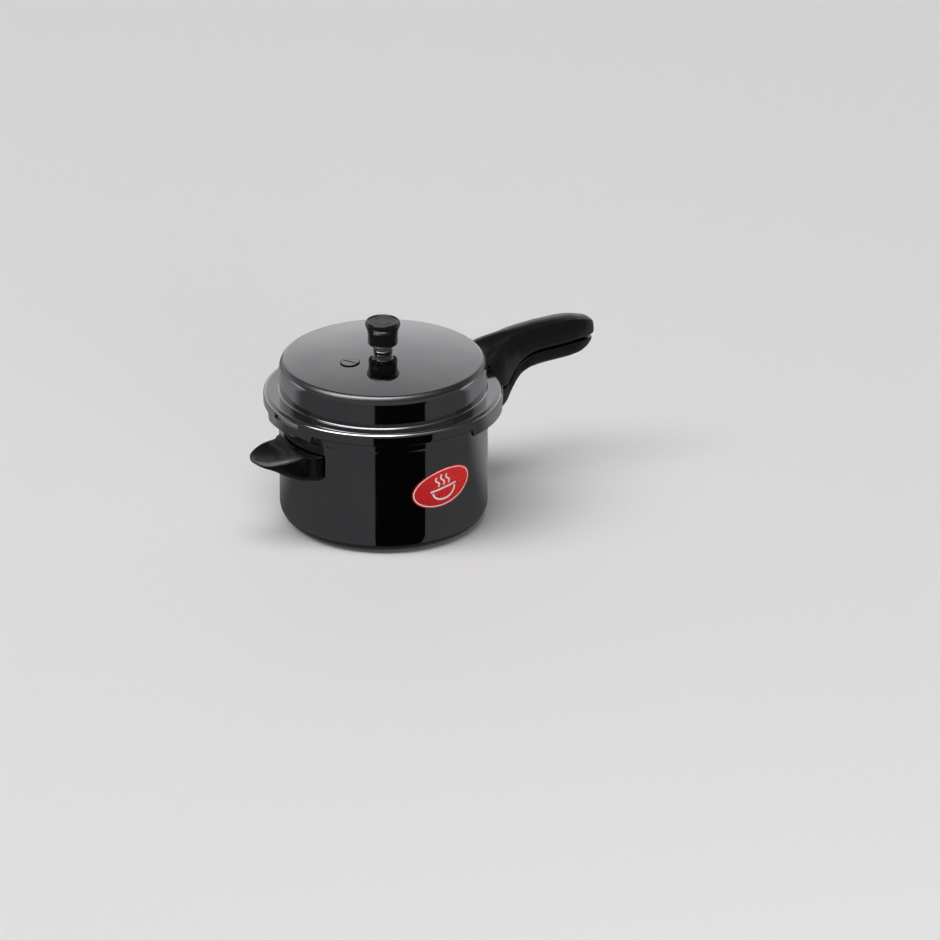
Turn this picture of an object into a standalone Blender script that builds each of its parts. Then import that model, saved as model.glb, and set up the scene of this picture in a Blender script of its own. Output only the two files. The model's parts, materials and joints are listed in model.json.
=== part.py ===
"""Three litre outer-lid stovetop pressure cooker, as an assembly of separate pieces.

Frame: metres, +Z up, origin on the pot's axis at the face it stands on, +X along the long handles.
"""

import math

import bmesh
import bpy
from mathutils import Matrix, Vector

MM = 0.001

# Driving dimensions, in millimetres.
POT_RADIUS = 90.0  # outside of the pot's wall
NECK_RADIUS = 91.2  # outside of the swaged neck above the wall
POT_WALL = 3.2
POT_FLOOR = 4.0
POT_CORNER = 15.0  # outside radius between wall and floor
NECK_STEP_Z = 96.0
RIM_Z = 107.0  # top of the pot's rim
RIM_THICKNESS = 2.6
RIM_RADIUS = 97.5
NOTCH_RADIUS = 92.7  # rim inside the notches that let the lid's lugs down

LID_SHEET = 2.6
LID_DISC_RADIUS = 83.7
LID_DISC_Z = 146.0  # where the dome meets the shoulder
LID_DOME = 5.6  # rise of the dome's middle
LID_SHOULDER = 5.6  # the shoulder's reach outwards
SHOULDER_DROP = 9.5  # its reach downwards
LEDGE_Z = 117.4
LEDGE_FILLET = 3.4
FLANGE_RADIUS = 103.0
FLANGE_CORNER = 2.8
SKIRT_LOW_Z = 101.2  # lower edge of the lid's wall at the lugs
SKIRT_HIGH_Z = 107.4  # lower edge of the lid's wall between the lugs
LUG_RADIUS = 93.5  # inner edge of the lid's lugs
LUG_TOP_Z = 103.7

DEEP_ANGLES = (60.0, 180.0, 300.0)  # middles of the deeper stretches of the lid's wall
DEEP_SPAN = 35.4
LUG_ANGLES = (63.6, 183.6, 303.6)  # middles of the lid's lugs when the handles are in line
LUG_SPAN = 24.0
LID_TURN = 31.5  # how far the lid turns between locked and free
NOTCH_SPAN = 28.0

GAP = 0.3  # clearance left between pieces that touch
TURN_STEPS = 60  # facets round the large turned pieces
SMALL_STEPS = 24  # facets round the small turned pieces

LID_TOP_Z = LID_DISC_Z + LID_DOME
SKIRT_RADIUS = LID_DISC_RADIUS + LID_SHOULDER

VALVE_RADIUS = 36.0  # safety valve's distance from the axis
VALVE_ANGLE = 183.0
SLOT_ANGLE = -72.4  # direction of the slot in the safety valve's head


# ---------------------------------------------------------------- scene and materials


def clear_scene():
    for obj in list(bpy.data.objects):
        bpy.data.objects.remove(obj)


def new_collection(name, hidden=False):
    collection = bpy.data.collections.new(name)
    bpy.context.scene.collection.children.link(collection)
    collection.hide_render = hidden
    return collection


def new_material(name, colour, metallic, roughness):
    material = bpy.data.materials.new(name)
    material.use_nodes = True
    shader = material.node_tree.nodes["Principled BSDF"]
    shader.inputs["Base Color"].default_value = (*colour, 1.0)
    shader.inputs["Metallic"].default_value = metallic
    shader.inputs["Roughness"].default_value = roughness
    return material


clear_scene()
COOKER = new_collection("pressure_cooker")
CUTTERS = new_collection("cutters", hidden=True)

ANODISED = new_material("anodised_aluminium", (0.035, 0.036, 0.038), 0.9, 0.18)
BAKELITE = new_material("bakelite", (0.012, 0.012, 0.012), 0.0, 0.3)
STEEL = new_material("steel", (0.62, 0.62, 0.63), 1.0, 0.28)
CHROME = new_material("chrome", (0.8, 0.8, 0.82), 1.0, 0.1)
RIVET_METAL = new_material("rivet_aluminium", (0.7, 0.7, 0.72), 1.0, 0.35)
SILICONE = new_material("silicone", (0.6, 0.6, 0.58), 0.0, 0.5)
ALLOY = new_material("fusible_alloy", (0.55, 0.55, 0.52), 1.0, 0.45)
LABEL_RED = new_material("label_red", (0.72, 0.03, 0.04), 0.0, 0.3)


# ---------------------------------------------------------------- shape helpers


def add_object(name, mesh, material, collection=COOKER, sharp_angle=35.0):
    obj = bpy.data.objects.new(name, mesh)
    collection.objects.link(obj)
    if collection is CUTTERS:
        obj.hide_render = True
        obj.display_type = "WIRE"
    else:
        mesh.materials.append(material)
        mesh.shade_smooth()
        mesh.set_sharp_from_angle(angle=math.radians(sharp_angle))
    return obj


def arc(centre_r, centre_z, radius, start, end, count, drop=None):
    """Points of an arc in the profile plane, its angles in degrees from the outward direction.

    With drop given, the arc is an ellipse that reaches that far up or down.
    """
    drop = drop or radius
    points = []
    for i in range(count + 1):
        angle = math.radians(start + (end - start) * i / count)
        points.append((centre_r + radius * math.cos(angle), centre_z + drop * math.sin(angle)))
    return points


def turned(name, profile, material, steps=SMALL_STEPS, closed=False, collection=COOKER):
    """A solid turned round Z. The profile is in millimetres and runs down its outer side."""
    mesh = bpy.data.meshes.new(name)
    points = [(r * MM, 0.0, z * MM) for r, z in profile]
    edges = [(i, i + 1) for i in range(len(points) - 1)]
    if closed:
        edges.append((len(points) - 1, 0))
    mesh.from_pydata(points, edges, [])
    obj = add_object(name, mesh, material, collection)
    screw = obj.modifiers.new("turn", "SCREW")
    screw.axis = "Z"
    screw.steps = steps
    screw.render_steps = steps
    screw.use_merge_vertices = True
    screw.merge_threshold = 0.00001
    screw.use_smooth_shade = True
    return obj


def mesh_from_bmesh(name, shape, material, collection=COOKER):
    bmesh.ops.recalc_face_normals(shape, faces=shape.faces)
    mesh = bpy.data.meshes.new(name)
    shape.to_mesh(mesh)
    shape.free()
    return add_object(name, mesh, material, collection)


def sector(name, section, middle, span, material=None, collection=COOKER, steps=6):
    """A closed section in the (radius, z) plane swept through part of a turn about Z."""
    shape = bmesh.new()
    corners = [shape.verts.new((r * MM, 0.0, z * MM)) for r, z in section]
    face = shape.faces.new(corners)
    start = Matrix.Rotation(math.radians(middle - span / 2), 3, "Z")
    bmesh.ops.rotate(shape, cent=(0, 0, 0), matrix=start, verts=shape.verts)
    bmesh.ops.spin(
        shape,
        geom=[face],
        cent=(0, 0, 0),
        axis=(0, 0, 1),
        angle=math.radians(span),
        steps=steps,
        use_duplicate=False,
    )
    return mesh_from_bmesh(name, shape, material, collection)


def rectangle(r_low, r_high, z_low, z_high):
    return [(r_low, z_low), (r_high, z_low), (r_high, z_high), (r_low, z_high)]


def cylinder(
    name, radius, z_low, z_high, at=(0.0, 0.0), material=None, collection=CUTTERS, sides=SMALL_STEPS
):
    """An upright cylinder or, with six sides, a hexagon bar."""
    shape = bmesh.new()
    bmesh.ops.create_cone(
        shape,
        cap_ends=True,
        segments=sides,
        radius1=radius * MM,
        radius2=radius * MM,
        depth=(z_high - z_low) * MM,
    )
    obj = mesh_from_bmesh(name, shape, material, collection)
    obj.location = (at[0] * MM, at[1] * MM, (z_low + z_high) / 2 * MM)
    return obj


def box(name, x_low, x_high, half_width, z_low, z_high):
    """A cutter box centred on the handles' middle plane."""
    shape = bmesh.new()
    bmesh.ops.create_cube(shape, size=1.0)
    obj = mesh_from_bmesh(name, shape, None, CUTTERS)
    obj.scale = ((x_high - x_low) * MM, 2 * half_width * MM, (z_high - z_low) * MM)
    obj.location = ((x_low + x_high) / 2 * MM, 0.0, (z_low + z_high) / 2 * MM)
    return obj


def cut(obj, cutter, operation="DIFFERENCE"):
    boolean = obj.modifiers.new(operation.lower(), "BOOLEAN")
    boolean.operation = operation
    boolean.solver = "EXACT"
    boolean.object = cutter
    return obj


def split_faces(obj):
    """Splits the faces left by cuts into well shaped triangles, with no slivers along straight edges."""
    shape = bmesh.new()
    shape.from_mesh(obj.data)
    bmesh.ops.dissolve_degenerate(shape, edges=shape.edges, dist=0.00001)
    bmesh.ops.triangulate(shape, faces=shape.faces, quad_method="BEAUTY", ngon_method="BEAUTY")
    shape.to_mesh(obj.data)
    shape.free()


def child_of(parent, *objects):
    for obj in objects:
        obj.parent = parent


def empty_at(name, location, rotation=(0.0, 0.0, 0.0)):
    empty = bpy.data.objects.new(name, None)
    COOKER.objects.link(empty)
    empty.location = location
    empty.rotation_euler = rotation
    return empty


def handle_section(half_width, crease, z_low, z_edge, z_crown, corner):
    """Points round a handle in the (y, z) plane.

    Rounded below, widest at half_width, creased at (crease, z_edge) and arched to z_crown.
    """
    half = []
    reach = min(corner, half_width * 0.8, (z_edge - z_low) * 0.7)
    for turn in (0, 30, 60, 90):
        angle = math.radians(turn - 90)
        half.append((half_width - reach + reach * math.cos(angle), z_low + reach + reach * math.sin(angle)))
    height = z_edge - z_low
    if crease < half_width:
        half.append((half_width, z_low + height * 0.45))
        half.append((crease + (half_width - crease) * 0.03, z_edge - 0.5))
    else:
        half.append((half_width, z_edge - min(0.8, height * 0.2)))
    for fraction in (0.97, 0.88, 0.65, 0.35):
        half.append((crease * fraction, z_edge + (z_crown - z_edge) * (1 - fraction**2)))
    return half + [(0.0, z_crown)] + [(-y, z) for y, z in reversed(half)]


def loft(name, stations, material, corner, direction=1):
    """A handle: sections joined along X, closed at both ends."""
    shape = bmesh.new()
    rings = []
    for x, *sizes in stations:
        section = handle_section(*sizes, corner)
        rings.append([shape.verts.new((direction * x * MM, y * MM, z * MM)) for y, z in section])
    for first, second in zip(rings, rings[1:]):
        for i in range(len(first)):
            j = (i + 1) % len(first)
            shape.faces.new((first[i], first[j], second[j], second[i]))
    shape.faces.new(rings[0])
    shape.faces.new(rings[-1])
    return mesh_from_bmesh(name, shape, material)


def dome_z(r):
    """Height of the lid's domed top at a distance from the axis."""
    return LID_DISC_Z + LID_DOME * (1 - (r / LID_DISC_RADIUS) ** 2)


# ---------------------------------------------------------------- pot


def make_pot():
    inner = POT_RADIUS - POT_WALL
    neck_inner = NECK_RADIUS - POT_WALL
    inner_corner = POT_CORNER - POT_WALL
    rim_low = RIM_Z - RIM_THICKNESS
    neck_fillet = 1.4
    edge = 0.9
    profile = [(0.0, POT_FLOOR)]
    profile += arc(inner - inner_corner, POT_FLOOR + inner_corner, inner_corner, -90, 0, 3)
    profile += [(inner, NECK_STEP_Z - 0.6), (neck_inner, NECK_STEP_Z + 1.2)]
    profile += arc(neck_inner + edge, RIM_Z - edge, edge, 180, 90, 2)
    profile += arc(RIM_RADIUS - edge, RIM_Z - edge, edge, 90, 0, 2)
    profile += [(RIM_RADIUS, rim_low)]
    profile += arc(NECK_RADIUS + neck_fillet, rim_low - neck_fillet, neck_fillet, 90, 180, 2)
    profile += arc(NECK_RADIUS - 1.2, NECK_STEP_Z + 1.2, 1.2, 0, -60, 2)
    profile += [(POT_RADIUS, NECK_STEP_Z - 0.6)]
    profile += arc(POT_RADIUS - POT_CORNER, POT_CORNER, POT_CORNER, 0, -90, 5)
    profile += [(0.0, 0.0)]
    pot = turned("pot_body", profile, ANODISED, TURN_STEPS)
    section = rectangle(NOTCH_RADIUS, RIM_RADIUS + 3, rim_low - 1, RIM_Z + 1)
    for angle in LUG_ANGLES:
        name = f"notch_cut_{angle:.0f}"
        cut(pot, sector(name, section, angle - LID_TURN, NOTCH_SPAN, None, CUTTERS, steps=5))
    return pot


def make_bracket(name, wall_radius, plate, tongue, end_radius, facing, span=12.0):
    """A sheet steel T in side view: a plate curved to the wall and a tongue for the handle's screw."""
    thickness = 2.0
    inner = wall_radius + GAP
    outer = inner + thickness
    section = [
        (inner, plate[0]),
        (outer, plate[0]),
        (outer, tongue[0]),
        (end_radius, tongue[0]),
        (end_radius, tongue[1]),
        (outer, tongue[1]),
        (outer, plate[1]),
        (inner, plate[1]),
    ]
    section = [point for i, point in enumerate(section) if point != section[i - 1]]
    return sector(name, section, facing, span, STEEL, steps=4)


def bracket_pockets(handle, name, wall_radius, plate, tongue, end_radius, facing, span=12.0):
    """Room inside a handle's root for its bracket and the rivet heads standing off the plate."""
    plate_room = rectangle(wall_radius - 8.0, wall_radius + 5.3, plate[0] - 1.2, plate[1] + 1.2)
    cut(handle, sector(name + "_plate_pocket", plate_room, facing, span + 2.0, None, CUTTERS, steps=4))
    tongue_room = rectangle(wall_radius, end_radius + 0.6, tongue[0] - 0.4, tongue[1] + 0.4)
    cut(handle, sector(name + "_tongue_pocket", tongue_room, facing, span + 1.0, None, CUTTERS, steps=4))


def make_rivet(name, wall_inner, plate_outer, z, facing):
    """A solid aluminium rivet through the pot's wall and a bracket's plate, with a head at each end."""
    shank = 1.9
    head = 3.4
    head_height = 1.5
    outside = plate_outer + GAP
    inside = wall_inner - GAP - 0.2
    shell = [(0.0, outside + head_height), (head * 0.62, outside + head_height * 0.8)]
    shell += [(head, outside), (shank, outside), (shank, inside), (head, inside)]
    shell += [(head * 0.62, inside - head_height * 0.8), (0.0, inside - head_height)]
    rivet = turned(name, shell, RIVET_METAL, 16)
    rivet.rotation_euler = (0.0, math.radians(90), math.radians(facing))
    rivet.location = (0.0, 0.0, z * MM)
    return rivet


def rivet_hole(targets, z, facing, name):
    """Cuts a radial hole for a rivet through the wall and the plate on one side of the pot."""
    shape = bmesh.new()
    hole = 2.2 * MM
    bmesh.ops.create_cone(shape, cap_ends=True, segments=16, radius1=hole, radius2=hole, depth=20 * MM)
    cutter = mesh_from_bmesh(name, shape, None, CUTTERS)
    angle = math.radians(facing)
    cutter.rotation_euler = (0.0, math.radians(90), angle)
    cutter.location = (POT_RADIUS * MM * math.cos(angle), POT_RADIUS * MM * math.sin(angle), z * MM)
    for target in targets:
        cut(target, cutter)


def make_screw(name, x, head_z, tip_z):
    """An M5 pan head screw driven upwards, with a cross slot left to its visible replacement."""
    shank = 2.3
    head = 4.2
    head_height = 2.6
    profile = [(0.0, tip_z), (shank - 0.6, tip_z), (shank, tip_z - 0.8), (shank, head_z + head_height)]
    profile += [(head, head_z + head_height), (head, head_z + 0.9), (head - 1.0, head_z), (0.0, head_z)]
    screw = turned(name, profile, STEEL, 20)
    screw.location = (x * MM, 0.0, 0.0)
    return screw


def screw_way(targets, x, head_z, low_z, tip_z, name):
    """Counterbore for the head from below, and the clearance hole above it."""
    bore = cylinder(name + "_bore", 4.6, low_z, head_z + 2.6 + GAP, at=(x, 0.0))
    hole = cylinder(name + "_hole", 2.7, low_z, tip_z + 1.0, at=(x, 0.0))
    handle, bracket = targets
    cut(handle, bore)
    cut(handle, hole)
    cut(bracket, hole)


# ---------------------------------------------------------------- handles on the pot


BODY_HANDLE = (  # distance from the axis, half width, half width at the crease, heights: low, crease, crown
    (89.5, 16.0, 16.0, 67.6, 90.0, 91.2),
    (104.4, 16.0, 16.0, 68.9, 90.1, 91.3),
    (115.0, 15.4, 15.4, 72.0, 90.6, 91.6),
    (121.4, 14.2, 14.2, 75.3, 91.2, 92.0),
    (124.6, 13.2, 13.2, 78.1, 93.1, 93.7),
    (128.3, 12.4, 12.4, 83.3, 97.0, 97.5),
    (132.1, 11.8, 11.8, 88.1, 100.7, 101.1),
    (136.3, 11.1, 11.1, 92.7, 104.9, 105.2),
    (141.6, 10.4, 10.4, 96.8, 108.3, 108.6),
    (147.0, 10.3, 10.3, 99.2, 110.6, 110.9),
    (154.4, 10.2, 10.2, 100.8, 112.5, 112.8),
    (165.1, 10.0, 10.0, 101.2, 113.0, 113.3),
    (180.0, 10.2, 10.2, 100.9, 112.5, 112.8),
    (193.8, 10.5, 10.5, 100.7, 112.5, 112.8),
    (204.5, 10.6, 10.6, 101.7, 112.7, 113.0),
    (213.0, 9.9, 9.9, 104.4, 112.8, 113.1),
    (218.9, 7.8, 7.8, 107.9, 112.3, 112.7),
    (222.2, 4.4, 4.4, 110.3, 111.7, 112.0),
)

HELPER_HANDLE = (  # as above, outwards on the other side
    (72.0, 33.0, 33.0, 62.6, 86.0, 86.0),
    (84.0, 32.4, 32.4, 62.6, 86.0, 85.8),
    (87.8, 31.2, 31.2, 62.8, 86.0, 85.6),
    (92.4, 28.8, 28.8, 62.9, 86.0, 85.3),
    (94.5, 26.6, 26.6, 63.0, 86.0, 84.9),
    (98.0, 25.3, 25.3, 63.2, 86.0, 84.4),
    (103.0, 25.0, 25.0, 64.8, 86.0, 83.6),
    (108.0, 24.6, 24.6, 67.2, 86.0, 82.8),
    (113.0, 23.3, 23.3, 69.8, 86.0, 82.2),
    (118.0, 21.7, 21.7, 72.6, 86.0, 82.0),
    (122.5, 19.8, 19.8, 75.6, 86.0, 82.2),
    (127.0, 17.4, 17.4, 78.6, 86.0, 82.8),
    (131.0, 13.8, 13.8, 80.8, 86.0, 83.8),
    (134.4, 9.2, 9.2, 82.2, 86.0, 84.8),
    (136.4, 4.6, 4.6, 83.4, 86.0, 85.6),
    (137.0, 2.2, 2.2, 84.2, 85.8, 85.7),
)

LID_HANDLE = (  # as the pot's long handle, above it
    (91.6, 17.8, 17.6, 94.4, 121.6, 134.5),
    (98.0, 17.8, 17.0, 94.1, 124.3, 136.0),
    (104.4, 17.6, 15.2, 93.8, 127.3, 137.1),
    (110.8, 17.2, 13.3, 93.5, 129.4, 137.9),
    (117.1, 16.4, 11.8, 93.2, 131.6, 138.3),
    (122.5, 15.2, 10.7, 93.6, 133.2, 138.5),
    (126.2, 14.2, 10.0, 97.2, 134.3, 138.7),
    (129.9, 13.3, 9.4, 101.0, 135.4, 138.8),
    (134.2, 12.4, 9.0, 105.0, 136.2, 138.8),
    (138.4, 11.6, 8.8, 108.4, 136.8, 138.9),
    (144.8, 11.0, 8.7, 111.8, 137.1, 139.0),
    (152.3, 10.6, 8.6, 114.3, 137.3, 139.1),
    (161.9, 10.2, 8.6, 115.2, 137.3, 139.2),
    (175.7, 10.2, 8.7, 114.8, 136.7, 138.6),
    (189.6, 10.5, 8.9, 114.5, 135.9, 137.5),
    (201.3, 10.6, 8.9, 114.7, 134.3, 136.1),
    (210.9, 10.2, 8.6, 114.7, 131.8, 133.6),
    (217.3, 8.9, 7.4, 114.9, 128.6, 130.4),
    (221.3, 6.4, 5.2, 116.2, 125.0, 126.8),
    (223.0, 3.4, 2.8, 118.5, 121.7, 123.1),
)


def make_body_handle(pot):
    plate, tongue, end = (71.0, 87.0), (81.0, 83.0), 111.0
    screw_x, head_z, tip_z = 103.0, 72.8, 86.6
    bracket = make_bracket("body_handle_bracket", POT_RADIUS, plate, tongue, end, 0.0)
    handle = loft("body_handle", BODY_HANDLE, BAKELITE, 4.0)
    wall = cylinder("body_handle_wall_cut", NECK_RADIUS + GAP, 50, 100, sides=TURN_STEPS)
    cut(handle, wall)
    bracket_pockets(handle, "body", POT_RADIUS, plate, tongue, end, 0.0)
    screw_way((handle, bracket), screw_x, head_z, 55.0, tip_z, "body_screw")
    split_faces(handle)
    make_screw("body_handle_screw", screw_x, head_z, tip_z)
    add_rivets("body_handle_rivet", pot, bracket, 0.0, 75.8)


def make_helper_handle(pot):
    plate, tongue, end = (66.0, 82.0), (71.0, 73.0), 109.0
    screw_x, head_z, tip_z = 102.0, 66.6, 78.8
    bracket = make_bracket("helper_handle_bracket", POT_RADIUS, plate, tongue, end, 180.0, span=16.0)
    handle = loft("helper_handle", HELPER_HANDLE, BAKELITE, 6.0, direction=-1)
    wall = cylinder("helper_handle_wall_cut", NECK_RADIUS + GAP, 50, 102, sides=TURN_STEPS)
    cut(handle, wall)
    bracket_pockets(handle, "helper", POT_RADIUS, plate, tongue, end, 180.0, span=16.0)
    screw_way((handle, bracket), -screw_x, head_z, 55.0, tip_z, "helper_screw")
    split_faces(handle)
    make_screw("helper_handle_screw", -screw_x, head_z, tip_z)
    add_rivets("helper_handle_rivet", pot, bracket, 180.0, 77.8)


def add_rivets(name, pot, bracket, facing, z):
    spread = 3.0
    plate_outer = POT_RADIUS + GAP + 2.0
    for i, turn in enumerate((-spread, spread), start=1):
        make_rivet(f"{name}_{i}", POT_RADIUS - POT_WALL, plate_outer, z, facing + turn)
        rivet_hole((pot, bracket), z, facing + turn, f"{name}_hole_{i}")


def make_label():
    """An oval sticker on the pot's side, its long axis tilted."""
    ring = turned(
        "front_label",
        rectangle(POT_RADIUS + GAP, POT_RADIUS + 2 * GAP, 30, 80),
        LABEL_RED,
        TURN_STEPS * 2,
        closed=True,
    )
    shape = bmesh.new()
    bmesh.ops.create_cone(shape, cap_ends=True, segments=40, radius1=MM, radius2=MM, depth=60 * MM)
    oval = mesh_from_bmesh("label_oval", shape, None, CUTTERS)
    tilt = math.radians(9)
    half_length, half_height = 29.4, 17.2
    oval.scale = (half_length, half_height, 1.0)
    oval.rotation_euler = (math.radians(90), -tilt, 0.0)
    oval.location = (-1.9 * MM, -POT_RADIUS * MM, 57.4 * MM)
    cut(ring, oval, "INTERSECT")


# ---------------------------------------------------------------- lid


def lid_profile():
    inner_skirt = SKIRT_RADIUS - LID_SHEET
    inner_wall = FLANGE_RADIUS - LID_SHEET
    under_ledge = LEDGE_Z - LID_SHEET
    low_edge = 1.0
    bore = 5.3
    profile = [(r, dome_z(r)) for r in (bore, 30.0, 57.0, LID_DISC_RADIUS)]
    shoulder_z = LID_DISC_Z - SHOULDER_DROP
    profile += arc(LID_DISC_RADIUS, shoulder_z, LID_SHOULDER, 72, 0, 4, SHOULDER_DROP)
    profile += arc(SKIRT_RADIUS + LEDGE_FILLET, LEDGE_Z + LEDGE_FILLET, LEDGE_FILLET, 180, 270, 3)
    profile += arc(FLANGE_RADIUS - FLANGE_CORNER, LEDGE_Z - FLANGE_CORNER, FLANGE_CORNER, 90, 0, 3)
    profile += arc(FLANGE_RADIUS - low_edge, SKIRT_LOW_Z + low_edge, low_edge, 0, -90, 2)
    profile += [(inner_wall, SKIRT_LOW_Z), (inner_wall, under_ledge)]
    profile += arc(inner_skirt + 4.0, under_ledge + 4.0, 4.0, 270, 180, 2)
    inside = LID_SHOULDER - LID_SHEET
    profile += arc(LID_DISC_RADIUS, shoulder_z, inside, 0, 80, 3, SHOULDER_DROP - LID_SHEET)
    profile += [(r, dome_z(r) - LID_SHEET) for r in (57.0, 30.0, bore)]
    return profile


def make_lid():
    lid = turned("lid_shell", lid_profile(), ANODISED, TURN_STEPS, closed=True)
    shallow = rectangle(LUG_RADIUS, FLANGE_RADIUS + 3, SKIRT_LOW_Z - 3, SKIRT_HIGH_Z)
    for angle in DEEP_ANGLES:
        name = f"shallow_cut_{angle:.0f}"
        cut(lid, sector(name, shallow, angle + 60, 120 - DEEP_SPAN, None, CUTTERS, steps=14))
    lug = rectangle(LUG_RADIUS, FLANGE_RADIUS - 1.2, SKIRT_LOW_Z + 0.3, LUG_TOP_Z)
    for angle in LUG_ANGLES:
        cut(lid, sector(f"lug_{angle:.0f}", lug, angle, LUG_SPAN, None, CUTTERS, steps=4), "UNION")
    window = rectangle(98.0, 107.0, 110.2, 114.6)
    cut(lid, sector("release_window_cut", window, DEEP_ANGLES[1], 20.0, None, CUTTERS, steps=6))
    cut(lid, make_dimple(), "UNION")
    return lid


def make_dimple():
    """A small round mark pressed through the lid's wall, near the end of a deeper stretch."""
    shape = bmesh.new()
    radius = 1.5 * MM
    bmesh.ops.create_cone(
        shape, cap_ends=True, segments=12, radius1=radius, radius2=radius, depth=3.0 * MM
    )
    peg = mesh_from_bmesh("dimple", shape, None, CUTTERS)
    angle = math.radians(DEEP_ANGLES[2] - 15.6)
    middle = FLANGE_RADIUS - 0.9
    peg.rotation_euler = (0.0, math.radians(90), angle)
    peg.location = (middle * MM * math.cos(angle), middle * MM * math.sin(angle), 108.6 * MM)
    return peg


def make_gasket():
    """Channel-section sealing ring, open inwards, between the lid's ledge and the pot's rim."""
    low, high = RIM_Z + GAP, LEDGE_Z - LID_SHEET - GAP
    outer, web, lip = FLANGE_RADIUS - LID_SHEET - 0.9, 97.4, 91.2
    lip_thickness = 2.1
    profile = [
        (lip, high),
        (outer, high),
        (outer, low),
        (lip, low),
        (lip, low + lip_thickness),
        (web, low + lip_thickness + 0.3),
        (web, high - lip_thickness - 0.3),
        (lip, high - lip_thickness),
    ]
    turned("gasket", profile, SILICONE, TURN_STEPS, closed=True)


def make_vent():
    """Steam pipe through the lid's middle, with its seal and nut underneath."""
    top, under = LID_TOP_Z, LID_TOP_Z - LID_SHEET
    hole = 1.3
    profile = [(2.1, top + 15.6), (3.4, top + 15.6), (4.0, top + 15.0), (4.0, top + 2.7)]
    profile += [(7.2, top + 2.7), (7.2, top + GAP), (4.9, top + GAP), (4.9, under - 9.6)]
    profile += [(hole, under - 9.6), (hole, top + 13.6)]
    turned("vent_pipe", profile, STEEL, closed=True)
    seal = [(5.3, under - GAP), (8.4, under - GAP), (8.4, under - 1.7), (5.3, under - 1.7)]
    turned("vent_seal", seal, SILICONE, closed=True)
    nut = cylinder("vent_nut", 9.2, under - 6.8, under - 2.0, material=STEEL, collection=COOKER, sides=6)
    cut(nut, cylinder("vent_nut_bore", 5.2, under - 10, under + 2))


def make_safety_valve(lid):
    """Slotted fusible plug standing square on the dome, with its seal and nut underneath."""
    angle = math.radians(VALVE_ANGLE)
    slope = math.atan(2 * LID_DOME * VALVE_RADIUS / LID_DISC_RADIUS**2)
    station = empty_at(
        "safety_valve_station",
        (
            VALVE_RADIUS * MM * math.cos(angle),
            VALVE_RADIUS * MM * math.sin(angle),
            dome_z(VALVE_RADIUS) * MM,
        ),
        (0.0, slope, angle),
    )
    hole = cylinder("safety_valve_hole", 5.4, -6, 6)
    head, shank, core = 8.5, 5.0, 1.7
    profile = [(core, 1.9), (head - 0.8, 1.9), (head, 1.2), (head, GAP + 0.1), (shank, GAP + 0.1)]
    profile += [(shank, -12.0), (core, -12.0)]
    valve = turned("safety_valve", profile, STEEL, closed=True)
    slot = box("safety_valve_slot", -10.0, 10.0, 0.8, 1.0, 3.0)
    slot.rotation_euler = (0.0, 0.0, math.radians(SLOT_ANGLE - VALVE_ANGLE))
    cut(valve, slot)
    inner = core - GAP
    alloy_profile = [(0.0, 0.8), (inner, 0.8), (inner, -11.6), (0.0, -11.6)]
    alloy = turned("fusible_core", alloy_profile, ALLOY, 16)
    under = -LID_SHEET - 0.2
    under -= 0.2
    seal_profile = [(5.3, under), (8.2, under), (8.2, under - 1.4), (5.3, under - 1.4)]
    seal = turned("safety_valve_seal", seal_profile, SILICONE, closed=True)
    nut = cylinder(
        "safety_valve_nut", 8.8, under - 6.2, under - 1.7, material=STEEL, collection=COOKER, sides=6
    )
    bore = cylinder("safety_valve_nut_bore", 5.3, under - 9, under + 2)
    cut(nut, bore)
    child_of(station, hole, valve, slot, alloy, seal, nut, bore)
    bpy.context.view_layer.update()
    cut(lid, hole)


def make_lid_handle():
    wall = FLANGE_RADIUS
    plate, tongue, end = (108.2, 115.6), (108.2, 110.2), 118.0
    screw_x, head_z, tip_z = 112.6, 98.4, 114.8
    bracket = make_bracket("lid_handle_bracket", wall, plate, tongue, end, 0.0, span=10.0)
    handle = loft("lid_handle", LID_HANDLE, BAKELITE, 2.4)
    outer_wall = cylinder("lid_handle_wall_cut", wall + 0.5, 90, LEDGE_Z + 0.4, sides=72)
    skirt = cylinder("lid_handle_skirt_cut", SKIRT_RADIUS + 0.5, 110, 160, sides=TURN_STEPS)
    fillet = cylinder("lid_handle_fillet_cut", SKIRT_RADIUS + 3.4, 109, LEDGE_Z + 2.8, sides=TURN_STEPS)
    cut(handle, outer_wall)
    cut(handle, skirt)
    cut(handle, fillet)
    bracket_pockets(handle, "lid", wall, plate, tongue, end, 0.0, span=10.0)
    screw_way((handle, bracket), screw_x, head_z, 90.0, tip_z, "lid_screw")
    split_faces(handle)
    make_screw("lid_handle_screw", screw_x, head_z, tip_z)


# ---------------------------------------------------------------- pressure weight


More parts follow.
